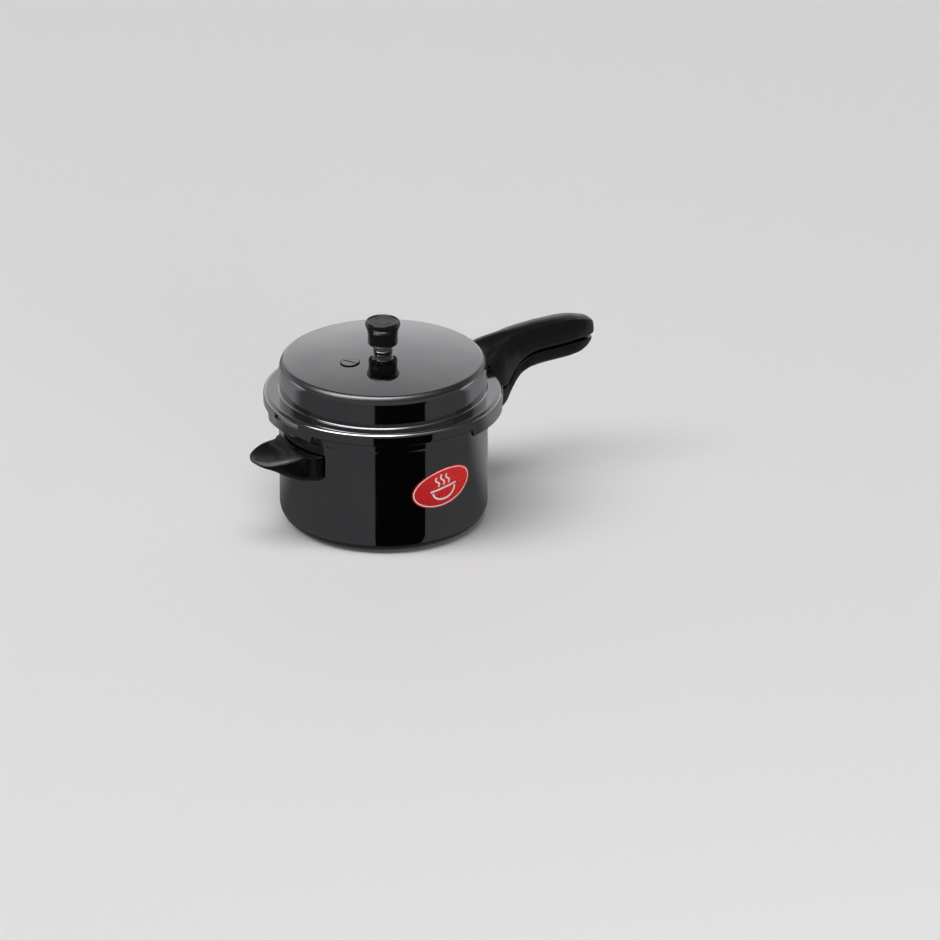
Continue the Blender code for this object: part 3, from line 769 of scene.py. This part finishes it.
def make_lid(material):
    inner_skirt = SKIRT_RADIUS - LID_SHEET
    inner_wall = FLANGE_RADIUS - LID_SHEET
    under_ledge = LEDGE_Z - LID_SHEET
    shoulder_z = LID_DISC_Z - SHOULDER_DROP
    bore, low = 5.3, 0.9
    dome = [(r, dome_z(r)) for r in [bore, bore + 0.6] + [8 + 4.0 * i for i in range(19)] + [83.0, 84.1]]
    profile = list(dome)
    profile += arc(LID_DISC_RADIUS, shoulder_z, LID_SHOULDER, 86, 0, 18, SHOULDER_DROP)
    profile += arc(SKIRT_RADIUS + LEDGE_FILLET, LEDGE_Z + LEDGE_FILLET, LEDGE_FILLET, 180, 270, 10)
    profile += [(SKIRT_RADIUS + LEDGE_FILLET + 0.4, LEDGE_Z), (FLANGE_RADIUS - FLANGE_CORNER - 0.4, LEDGE_Z)]
    corner_r, corner_z = FLANGE_RADIUS - FLANGE_CORNER, LEDGE_Z - FLANGE_DROP
    profile += arc(corner_r, corner_z, FLANGE_CORNER, 90, 0, 14, FLANGE_DROP)
    profile += [(FLANGE_RADIUS, WINDOW_HIGH), (FLANGE_RADIUS, WINDOW_LOW)]
    profile += arc(FLANGE_RADIUS - low, SKIRT_LOW_Z + low, low, 0, -90, 5)
    profile += arc(inner_wall + 0.4, SKIRT_LOW_Z + 0.4, 0.4, -90, -180, 3)
    profile += [(inner_wall, WINDOW_LOW), (inner_wall, WINDOW_HIGH)]
    profile += arc(inner_wall - 0.8, under_ledge - 0.8, 0.8, 0, 90, 3)
    profile += arc(inner_skirt + 4.0, under_ledge + 4.0, 4.0, 270, 180, 8)
    inner_shoulder, inner_drop = LID_SHOULDER - LID_SHEET, SHOULDER_DROP - LID_SHEET
    profile += arc(LID_DISC_RADIUS, shoulder_z, inner_shoulder, 0, 86, 10, inner_drop)
    profile += [(r, z - LID_SHEET) for r, z in reversed(dome)]
    top_out = profile.index((FLANGE_RADIUS, WINDOW_HIGH))
    top_in = profile.index((inner_wall, WINDOW_HIGH))
    rows = {top_out: 1, top_out + 1: -1, top_in - 1: -1, top_in: 1}
    ease = 1.4
    window_half = WINDOW_SPAN / 2
    window_middle = (WINDOW_LOW + WINDOW_HIGH) / 2
    half_height = (WINDOW_HIGH - WINDOW_LOW) / 2
    end_degrees = math.degrees(half_height / FLANGE_RADIUS)

    def shape_wall(angle, j, r, z):
        if z < WINDOW_LOW - 1.0 and r > inner_wall - 1.0:
            deep = inside_any(angle, DEEP_ANGLES, DEEP_SPAN, ease)
            z = z + (SKIRT_HIGH_Z - SKIRT_LOW_Z) * (1 - deep)
        if j in rows:
            away = abs(angle_from(WINDOW_ANGLE, angle))
            if away < window_half:
                past = max(0.0, (away - (window_half - end_degrees)) / end_degrees)
                z = window_middle + rows[j] * half_height * math.sqrt(max(0.0, 1 - past * past))
        return r, z

    def in_window(angle, j):
        return j in (top_out, top_in - 1) and abs(angle_from(WINDOW_ANGLE, angle)) < window_half

    extra = edge_angles(DEEP_ANGLES, DEEP_SPAN, ease)
    for side in (-1, 1):
        for past in (0.0, 0.4, 0.7, 0.87, 0.96, 1.0):
            extra.append(WINDOW_ANGLE + side * (window_half - end_degrees + past * end_degrees))
    angles = even_angles(COLUMNS, extra)
    bridge = [(top_out, top_in), (top_out + 1, top_in - 1)]
    shell = lathe(profile, angles, closed=True, warp=shape_wall, skip=in_window, bridge=bridge)
    bmesh.ops.remove_doubles(shell, verts=shell.verts, dist=WELD)
    lug_low, lug_deep, lug_edge = SKIRT_LOW_Z + 0.3, inner_wall + 0.6, 0.5
    lug = [(LUG_RADIUS + lug_edge, lug_low), (lug_deep, lug_low), (lug_deep, LUG_TOP_Z)]
    lug += [(LUG_RADIUS + lug_edge, LUG_TOP_Z), (LUG_RADIUS, LUG_TOP_Z - lug_edge)]
    lug += [(LUG_RADIUS, lug_low + lug_edge)]
    whole = joined(shell, *[sector(lug, angle, LUG_SPAN, 24) for angle in LUG_ANGLES])
    lid = new_piece("lid_pressing", whole, material, "lid")
    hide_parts("lid_shell")


def make_gasket(material):
    low, high = RIM_Z + 0.3, LEDGE_Z - LID_SHEET - 0.3
    outer, web, lip, lip_t, e = FLANGE_RADIUS - LID_SHEET - 0.9, 97.4, 91.2, 2.1, 0.7
    bulge = 2.7
    profile = arc(outer - bulge, high - bulge, bulge, 90, 0, 8)
    profile += arc(outer - bulge, low + bulge, bulge, 0, -90, 8)
    profile += arc(lip + e, low + e, e, -90, -180, 4)
    profile += arc(lip + e, low + lip_t - e, e, 180, 90, 4)
    profile += [(web, low + lip_t + 0.3), (web + 0.5, low + lip_t + 0.9)]
    profile += [(web + 0.5, high - lip_t - 0.9), (web, high - lip_t - 0.3)]
    profile += arc(lip + e, high - lip_t + e, e, 270, 180, 4)
    profile += arc(lip + e, high - e, e, 180, 90, 4)
    shape = lathe(profile, even_angles(COLUMNS), closed=True)
    ring = new_piece("sealing_ring", shape, material, "seal")
    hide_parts("gasket")


# ---------------------------------------------------------------- handles

# Sections of the three handles, from the root outwards: distance from the axis, half width, half width
# at the crease where that differs, and the heights of the underside, the crease and the crown.
BODY_HANDLE = (
    (89.5, 16.0, 67.6, 90.0, 91.2),
    (104.4, 16.0, 68.9, 90.1, 91.3),
    (115.0, 15.4, 72.0, 90.6, 91.6),
    (121.4, 14.2, 75.3, 91.2, 92.0),
    (124.6, 13.2, 78.1, 93.1, 93.7),
    (128.3, 12.4, 83.3, 97.0, 97.5),
    (132.1, 11.8, 88.1, 100.7, 101.1),
    (136.3, 11.1, 92.7, 104.9, 105.2),
    (141.6, 10.4, 96.8, 108.3, 108.6),
    (147.0, 10.3, 99.2, 110.6, 110.9),
    (154.4, 10.2, 100.8, 112.5, 112.8),
    (165.1, 10.0, 101.2, 113.0, 113.3),
    (180.0, 10.2, 100.9, 112.5, 112.8),
    (193.8, 10.5, 100.7, 112.5, 112.8),
    (204.5, 10.6, 101.7, 112.7, 113.0),
    (213.0, 9.9, 104.4, 112.8, 113.1),
    (218.9, 7.8, 107.9, 112.3, 112.7),
    (222.2, 4.4, 110.3, 111.7, 112.0),
)
HELPER_HANDLE = (
    (72.0, 33.0, 62.6, 86.0, 86.0),
    (84.0, 32.4, 62.6, 86.0, 85.8),
    (87.8, 31.2, 62.8, 86.0, 85.6),
    (92.4, 28.8, 62.9, 86.0, 85.3),
    (94.5, 26.6, 63.0, 86.0, 84.9),
    (98.0, 25.3, 63.2, 86.0, 84.4),
    (103.0, 25.0, 64.8, 86.0, 83.6),
    (108.0, 24.6, 67.2, 85.8, 82.6),
    (113.0, 23.6, 69.8, 85.4, 81.8),
    (117.6, 22.3, 72.4, 84.8, 81.2),
    (121.4, 20.8, 75.0, 84.1, 81.0),
    (125.2, 18.8, 77.4, 83.4, 81.0),
    (128.6, 15.8, 79.0, 82.8, 81.4),
    (131.6, 11.4, 79.9, 82.4, 81.9),
    (133.4, 6.4, 80.6, 82.2, 82.1),
    (134.0, 3.4, 81.0, 82.0, 81.9),
)
LID_HANDLE = (
    (91.6, 17.8, 17.6, 94.4, 121.6, 134.5),
    (98.0, 17.8, 17.0, 94.1, 124.3, 136.0),
    (104.4, 17.6, 15.2, 93.8, 127.3, 137.1),
    (110.8, 17.2, 13.3, 93.5, 129.4, 137.9),
    (117.1, 16.4, 11.8, 93.2, 131.6, 138.3),
    (122.5, 15.2, 10.7, 93.6, 133.2, 138.5),
    (126.2, 14.2, 10.0, 97.2, 134.3, 138.7),
    (129.9, 13.3, 9.4, 101.0, 135.4, 138.8),
    (134.2, 12.4, 9.0, 105.0, 136.2, 138.8),
    (138.4, 11.6, 8.8, 108.4, 136.8, 138.9),
    (144.8, 11.0, 8.7, 111.8, 137.1, 139.0),
    (152.3, 10.6, 8.6, 114.3, 137.3, 139.1),
    (161.9, 10.2, 8.6, 115.2, 137.3, 139.2),
    (175.7, 10.2, 8.7, 114.8, 136.7, 138.6),
    (189.6, 10.5, 8.9, 114.5, 135.9, 137.5),
    (201.3, 10.6, 8.9, 114.7, 134.3, 136.1),
    (210.9, 10.2, 8.6, 114.7, 131.8, 133.6),
    (217.3, 9.3, 7.9, 114.8, 129.8, 131.6),
    (221.5, 7.8, 6.6, 115.4, 127.4, 129.0),
    (223.0, 6.2, 5.2, 116.6, 125.6, 127.0),
)


def smooth_rows(rows, step):
    """The rows resampled every step millimetres on curves that pass through every row."""
    xs = [row[0] for row in rows]
    columns = []
    for column in zip(*rows):
        slopes = [(b - a) / (xb - xa) for a, b, xa, xb in zip(column, column[1:], xs, xs[1:])]
        tangents = [slopes[0]]
        for i in range(1, len(slopes)):
            before, after = slopes[i - 1], slopes[i]
            wide, narrow = xs[i + 1] - xs[i], xs[i] - xs[i - 1]
            mean = 0.0
            if before * after > 0:
                weight = (wide + 2 * narrow) / (3 * (wide + narrow))
                mean = before * after / (weight * after + (1 - weight) * before)
            tangents.append(mean)
        tangents.append(slopes[-1])
        columns.append((column, tangents))
    result = []
    for i in range(len(rows) - 1):
        width = xs[i + 1] - xs[i]
        count = max(1, math.ceil(width / step))
        for k in range(count):
            t = k / count
            row = []
            for values, tangents in columns:
                a, b = values[i], values[i + 1]
                m, n = tangents[i] * width, tangents[i + 1] * width
                value = a * (2 * t**3 - 3 * t**2 + 1) + m * (t**3 - 2 * t**2 + t)
                row.append(value + b * (3 * t**2 - 2 * t**3) + n * (t**3 - t**2))
            result.append(row)
    result.append(list(rows[-1]))
    return result


def handle_section(half_width, crease, z_low, z_edge, z_crown, corner, ease):
    """Points round a handle in (y, z), with the crease eased into a narrow rounded edge."""
    half = []
    reach = min(corner, half_width * 0.8, (z_edge - z_low) * 0.7)
    for i in range(10):
        angle = math.radians(-90 + 10 * i)
        half.append((half_width - reach + reach * math.cos(angle), z_low + reach + reach * math.sin(angle)))
    ease = min(ease, half_width * 0.2, (z_edge - z_low) * 0.2)
    shoulder = z_low + (z_edge - z_low) * 0.45
    top = z_edge - ease
    if crease < half_width:
        half.append((half_width, shoulder))
        for t in (0.35, 0.7, 1.0):
            half.append((half_width + (crease - half_width) * t**1.3, shoulder + (top - shoulder) * t))
    else:
        half.append((half_width, top))
    half.append((crease - ease * 0.12, z_edge - ease * 0.45))
    half.append((crease - ease * 0.45, z_edge - ease * 0.10))
    inner = crease - ease
    for fraction in (1.0, 0.93, 0.83, 0.7, 0.55, 0.38, 0.2):
        half.append((inner * fraction, z_edge + (z_crown - z_edge) * (1 - fraction**2)))
    return half + [(0.0, z_crown)] + [(-y, z) for y, z in reversed(half)]


def handle_loft(rows, corner, ease, direction=1, step=1.6):
    """A handle through its sections, along +X or, with direction -1, along -X."""
    rings = []
    rows = [row if len(row) == 6 else (row[0], row[1], *row[1:]) for row in rows]
    for x, *sizes in smooth_rows(rows, step):
        section = handle_section(*sizes, corner, ease)
        rings.append([(direction * x * MM, y * MM, z * MM) for y, z in section])
    return loft(rings)


def carve(shape, cutters):
    """The bmesh with every cutter taken away from it, as a new bmesh."""
    target = as_object("carved", shape)
    tools = []
    for i, cutter in enumerate(cutters):
        tool = as_object(f"cutter_{i}", cutter)
        modifier = target.modifiers.new(f"cut_{i}", "BOOLEAN")
        modifier.operation = "DIFFERENCE"
        modifier.object = tool
        modifier.solver = "EXACT"
        tools.append(tool)
    bpy.context.view_layer.update()
    finished = target.evaluated_get(bpy.context.evaluated_depsgraph_get())
    result = bmesh.new()
    result.from_mesh(finished.to_mesh())
    finished.to_mesh_clear()
    for obj in [target] + tools:
        mesh = obj.data
        bpy.data.objects.remove(obj)
        bpy.data.meshes.remove(mesh)
    bmesh.ops.remove_doubles(result, verts=result.verts, dist=WELD)
    return result


def drum(radius, z_low, z_high, sides=COLUMNS, x=0.0):
    """An upright cylinder as a cutter."""
    shape = lathe([(0.0, z_low), (radius, z_low), (radius, z_high), (0.0, z_high)], even_angles(sides))
    bmesh.ops.translate(shape, verts=shape.verts, vec=(x * MM, 0.0, 0.0))
    return shape


def pocket(r_low, r_high, z_low, z_high, facing, span):
    """A sector of a ring as a cutter."""
    return sector(((r_low, z_low), (r_high, z_low), (r_high, z_high), (r_low, z_high)), facing, span, 16)


def bracket_room(wall, plate, tongue, end, facing, span):
    """Clearance in a handle for its bracket: the plate on the wall and the tongue that reaches out."""
    return [
        pocket(wall - 8.0, wall + 5.3, plate[0] - 1.2, plate[1] + 1.2, facing, span + 2.0),
        pocket(wall, end + 0.6, tongue[0] - 0.4, tongue[1] + 0.4, facing, span + 1.0),
    ]


def screw_room(screw, low_z, tip_z):
    """The way in for a handle's screw from below, and the clearance hole above its head."""
    x, head_z = screw
    return [drum(4.6, low_z, head_z + SCREW_HEAD + 0.3, 48, x), drum(2.6, head_z, tip_z + 0.4, 32, x)]


def make_handles(material):
    room = bracket_room(POT_RADIUS, (71.0, 87.0), (81.0, 83.0), 111.0, 0.0, 12.0)
    room += screw_room(BODY_SCREW, 55.0, 86.6)
    shape = carve(handle_loft(BODY_HANDLE, 4.0, 0.9), [drum(NECK_RADIUS + 0.4, 50, 100)] + room)
    piece = new_piece("pot_long_handle", shape, material, "pot", sharp=28)
    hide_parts("body_handle")

    room = bracket_room(POT_RADIUS, (66.0, 82.0), (71.0, 73.0), 109.0, 180.0, 16.0)
    room += screw_room(HELPER_SCREW, 55.0, 78.8)
    shape = handle_loft(HELPER_HANDLE, 6.0, 1.1, direction=-1, step=1.3)
    shape = carve(shape, [drum(NECK_RADIUS + 0.4, 50, 102)] + room)
    piece = new_piece("pot_ear", shape, material, "pot", sharp=28)
    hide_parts("helper_handle")

    room = bracket_room(FLANGE_RADIUS, (108.2, 115.6), (108.2, 110.2), 118.0, 0.0, 10.0)
    room += screw_room(LID_SCREW, 90.0, 114.8)
    walls = [drum(FLANGE_RADIUS + 0.4, 90, LEDGE_Z + 0.4), drum(SKIRT_RADIUS + 0.4, 110, 160)]
    walls.append(drum(SKIRT_RADIUS + LEDGE_FILLET + 0.1, 109, LEDGE_Z + LEDGE_FILLET))
    shape = carve(handle_loft(LID_HANDLE, 2.4, 0.8), walls + room)
    piece = new_piece("lid_long_handle", shape, material, "lid", sharp=28)
    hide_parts("lid_handle")


# ---------------------------------------------------------------- weight, vent and safety valve


def eased(profile, reach, count, closed=False):
    """Rounds the corners of a profile, each by at most reach millimetres."""
    points = []
    last = len(profile) - 1
    for i, at in enumerate(profile):
        if not closed and i in (0, last):
            points.append(at)
            continue
        before, after = Vector(profile[i - 1]), Vector(profile[(i + 1) % len(profile)])
        here = Vector(at)
        back, ahead = before - here, after - here
        size = min(reach, back.length * 0.45, ahead.length * 0.45)
        first, second = here + back.normalized() * size, here + ahead.normalized() * size
        for k in range(count + 1):
            t = k / count
            point = first * (1 - t) ** 2 + here * 2 * t * (1 - t) + second * t**2
            points.append((point.x, point.y))
    return points


def hollow_turning(profile, reach, count, sides):
    """A small piece turned from a closed profile, with eased corners."""
    points = eased(profile, reach, count, closed=True)
    points = supported(points + points[:1], 0.2, 3.0)[:-1]
    return lathe(points, even_angles(sides), closed=True)


def make_weight(chrome, bakelite, steel):
    z = LID_TOP_Z
    core = [(2.0, z + 21.4), (8.6, z + 21.4), (9.2, z + 20.8), (9.2, z + 6.2), (8.2, z + 5.7)]
    core += [(8.2, z + 4.9), (9.2, z + 4.4), (9.2, z + 2.4), (8.4, z + 0.8), (7.6, z + 0.8)]
    core += [(7.6, z + 3.6), (4.5, z + 3.6), (4.5, z + 6.6)]
    core += [(6.0, z + 6.6), (6.0, z + 8.6), (4.5, z + 8.6), (4.5, z + 17.0), (2.0, z + 17.4)]
    shape = hollow_turning(core, 0.35, 3, 72)
    piece = new_piece("regulator_core", shape, chrome, "weight", sharp=40)
    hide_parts("weight_core")

    cap = [(0.0, z + 27.7), (7.2, z + 27.7), (7.5, z + 27.45), (7.9, z + 27.45), (8.2, z + 27.7)]
    cap += [(12.2, z + 27.7), (12.9, z + 28.4), (14.1, z + 28.3), (15.1, z + 26.2), (15.1, z + 24.2)]
    cap += [(14.1, z + 22.0), (13.3, z + 19.6), (12.9, z + 15.0), (13.0, z + 8.9), (12.3, z + 7.2)]
    cap += [(9.5, z + 7.2), (9.5, z + 21.8), (0.0, z + 21.8)]
    shape = lathe(supported(eased(cap, 0.6, 4), 0.2, 3.0), even_angles(96))
    piece = new_piece("regulator_cap", shape, bakelite, "weight", sharp=40)
    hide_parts("weight_cap")

    needle = [(0.0, z + 21.2), (1.7, z + 21.2), (1.7, z + 17.2), (0.9, z + 15.2), (0.0, z + 14.2)]
    shape = lathe(eased(needle, 0.3, 3), even_angles(32))
    piece = new_piece("regulator_needle", shape, steel, "weight", sharp=40)
    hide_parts("weight_needle")


def make_vent(steel):
    top, under = LID_TOP_Z, LID_TOP_Z - LID_SHEET
    profile = [(2.1, top + 15.6), (3.4, top + 15.6), (4.0, top + 15.0), (4.0, top + 2.7)]
    profile += [(7.2, top + 2.7), (7.2, top + 0.3), (4.9, top + 0.3), (4.9, under - 9.6)]
    profile += [(1.3, under - 9.6), (1.3, top + 13.6)]
    shape = hollow_turning(profile, 0.3, 3, 48)
    piece = new_piece("steam_pipe", shape, steel, "lid", sharp=40)
    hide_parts("vent_pipe")


def valve_place():
    """Where the safety valve stands, square on the dome."""
    slope = math.atan(2 * LID_DOME * VALVE_RADIUS / LID_DISC_RADIUS**2)
    angle = math.radians(VALVE_ANGLE)
    at = Vector((VALVE_RADIUS * math.cos(angle), VALVE_RADIUS * math.sin(angle), dome_z(VALVE_RADIUS)))
    turn = Matrix.Rotation(angle, 4, "Z") @ Matrix.Rotation(slope, 4, "Y")
    return Matrix.Translation(at * MM) @ turn


def make_safety_valve(plug_metal, dark, alloy):
    profile = [(1.0, 0.95), (7.5, 0.95), (7.75, 0.75), (7.8, 0.5), (8.5, 0.5), (8.5, 0.4)]
    profile += [(5.0, 0.35), (5.0, -12.0), (1.7, -12.0), (1.7, 0.2), (1.0, 0.2)]
    shape = hollow_turning(profile, 0.1, 2, 72)
    shape = carve(shape, [bar(15.6, 1.3, 2.0, SLOT_ANGLE - VALVE_ANGLE, (0.0, 0.0, 1.45))])
    # Painted shade: faces lower than the top, in the slot, the bore and the step round the head, take the
    # near-black metal.
    recess_z = 0.85 * MM
    for face in shape.faces:
        face.material_index = 1 if face.calc_center_median().z < recess_z else 0
    bmesh.ops.transform(shape, matrix=valve_place(), verts=shape.verts)
    piece = new_piece("safety_plug", shape, plug_metal, "lid", sharp=30)
    piece.data.materials.append(dark)
    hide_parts("safety_valve")

    shape = lathe(eased([(0.0, 0.0), (1.4, 0.0), (1.4, -11.6), (0.0, -11.6)], 0.2, 3), even_angles(24))
    bmesh.ops.transform(shape, matrix=valve_place(), verts=shape.verts)
    piece = new_piece("fusible_plug", shape, alloy, "lid", sharp=40)
    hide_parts("fusible_core")


# ---------------------------------------------------------------- label


def on_wall(points, radius):
    """Points of the label's own plane (along and up from its middle, untilted) laid on the pot's wall."""
    tilt = math.radians(LABEL_TILT)
    laid = []
    for u, v in points:
        along = u * math.cos(tilt) - v * math.sin(tilt) + LABEL_X
        up = u * math.sin(tilt) + v * math.cos(tilt) + LABEL_Z
        turn = math.asin(along / POT_RADIUS)
        laid.append((radius * MM * math.sin(turn), -radius * MM * math.cos(turn), up * MM))
    return laid


def oval(scale_u, scale_v):
    """The label's outline, scaled along and up."""
    turns = [2 * math.pi * i / 96 for i in range(96)]
    half_u, half_v = LABEL_HALF
    return [(half_u * scale_u * math.cos(t), half_v * scale_v * math.sin(t)) for t in turns]


def band(outer, inner, low, high):
    """A thin closed band between two outlines with the same number of points."""
    sides = ((outer, low), (outer, high), (inner, high), (inner, low))
    return loft([on_wall(outline, radius) for outline, radius in sides], around=True)


def sticker(outline, low, high):
    """A closed thin sheet inside an outline, curved with the pot's wall."""
    rings = 10
    shape = bmesh.new()
    sides = []
    for radius in (low, high):
        middle = shape.verts.new(on_wall([(0.0, 0.0)], radius)[0])
        grown = []
        for k in range(1, rings + 1):
            points = [(u * k / rings, v * k / rings) for u, v in outline]
            grown.append([shape.verts.new(at) for at in on_wall(points, radius)])
        sides.append((middle, grown))
    count = len(outline)
    for middle, grown in sides:
        for i in range(count):
            j = (i + 1) % count
            shape.faces.new((middle, grown[0][i], grown[0][j]))
            for first, second in zip(grown, grown[1:]):
                shape.faces.new((first[i], second[i], second[j], first[j]))
    for i in range(count):
        j = (i + 1) % count
        bottom, top = sides[0][1][-1], sides[1][1][-1]
        shape.faces.new((bottom[i], bottom[j], top[j], top[i]))
    return shape


def ribbon(path, half_width, low, high):
    """A stroke of even width with square ends, along points in the label's plane."""
    rings = []
    for i, at in enumerate(path):
        before, after = Vector(path[max(0, i - 1)]), Vector(path[min(len(path) - 1, i + 1)])
        along = (after - before).normalized()
        side = Vector((-along.y, along.x)) * half_width
        edges = [Vector(at) + side, Vector(at) - side]
        rings.append(on_wall(edges, low) + on_wall(edges[::-1], high))
    return loft(rings)


def steam_wave(u, low_v, high_v):
    """The path of one wave of steam, swaying 1.5 mm to either side."""
    turns = [i / 24 for i in range(25)]
    return [(u + 1.5 * math.sin(2 * math.pi * t), low_v + (high_v - low_v) * t) for t in turns]


def make_label(red, white):
    base = POT_RADIUS + 0.3
    shape = sticker(oval(1.0, 1.0), base, base + 0.28)
    sheet = new_piece("label_sheet", shape, red, "pot", sharp=60)
    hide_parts("front_label")

    ink = (base + 0.29, base + 0.3)
    strokes = [band(oval(0.965, 0.945), oval(0.935, 0.895), *ink)]
    for u, low, high in ((-5.2, 2.2, 11.0), (0.0, 2.2, 12.2), (5.2, 2.2, 11.0)):
        strokes.append(ribbon(steam_wave(u, low, high), 0.75, *ink))
    strokes.append(ribbon([(-13.0 + i, -0.6) for i in range(27)], 0.8, *ink))
    turns = [math.radians(180 + 7.5 * i) for i in range(25)]
    bowl = [(11.0 * math.cos(turn), -2.6 + 8.2 * math.sin(turn)) for turn in turns]
    strokes.append(ribbon(bowl, 0.8, *ink))
    new_piece("label_marks", joined(*strokes), white, "pot", sharp=60)


# ---------------------------------------------------------------- screws


def make_screws(steel):
    for node, (x, head_z), body in (
        ("body_handle_screw", BODY_SCREW, "pot"),
        ("helper_handle_screw", HELPER_SCREW, "pot"),
        ("lid_handle_screw", LID_SCREW, "lid"),
    ):
        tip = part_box(node)[1][2] / MM
        head, shank, under = 4.2, 2.3, head_z + SCREW_HEAD
        profile = [(0.0, head_z), (head - 1.0, head_z), (head - 0.2, head_z + 0.6), (head, head_z + 1.2)]
        profile += [(head, under), (shank, under)]
        z = under + 0.6
        while z < tip - 1.4:
            profile += [(shank, z), (shank - 0.35, z + 0.4)]
            z += 0.8
        profile += [(shank - 0.6, tip), (0.0, tip)]
        shape = lathe(profile, even_angles(40))
        bmesh.ops.translate(shape, verts=shape.verts, vec=(x * MM, 0.0, 0.0))
        cross = [bar(5.0, 1.0, 2.4, turn, (x, 0.0, head_z)) for turn in (20.0, 110.0)]
        piece = new_piece(node + "_cross", carve(shape, cross), steel, body, sharp=30)
        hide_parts(node)


# ---------------------------------------------------------------- start


def main():
    bpy.context.scene.view_settings.view_transform = "Standard"
    make_camera()
    make_studio()
    pot_metal = anodised_material("hard_anodised_pot", pot_inside)
    lid_metal = anodised_material("hard_anodised_lid", lid_inside)
    bakelite = bakelite_material("bakelite_black")
    steel = metal_material("steel_plain", (0.60, 0.60, 0.61), 0.22, 0.34)
    chrome = metal_material("chrome_bright", (0.80, 0.80, 0.82), 0.06, 0.12)
    rivet = metal_material("rivet_metal", (0.68, 0.68, 0.70), 0.3, 0.42)
    alloy = metal_material("fusible_metal", (0.50, 0.50, 0.48), 0.35, 0.5)
    plug_metal = metal_material("plug_grey", (0.46, 0.46, 0.465), 0.1, 0.16)
    # Near-black metal, painted shade for the safety plug's slot and recesses.
    dark = metal_material("plug_recess_painted_shade", (0.03, 0.03, 0.03), 0.4, 0.55)
    silicone = silicone_material()
    red = label_material()
    white = print_white_material()
    by_slot = {
        "anodised_aluminium": lid_metal,
        "bakelite": bakelite,
        "steel": steel,
        "chrome": chrome,
        "rivet_aluminium": rivet,
        "silicone": silicone,
        "fusible_alloy": alloy,
        "label_red": red,
    }
    for part in frame["record"]["subparts"]:
        for holder in NODES[part["node"]].material_slots:
            holder.material = by_slot[part["material_slot"]]
    make_pot(pot_metal)
    make_lid(lid_metal)
    make_gasket(silicone)
    make_handles(bakelite)
    make_weight(chrome, bakelite, steel)
    make_vent(steel)
    make_safety_valve(plug_metal, dark, alloy)
    make_label(red, white)
    make_screws(steel)


main()
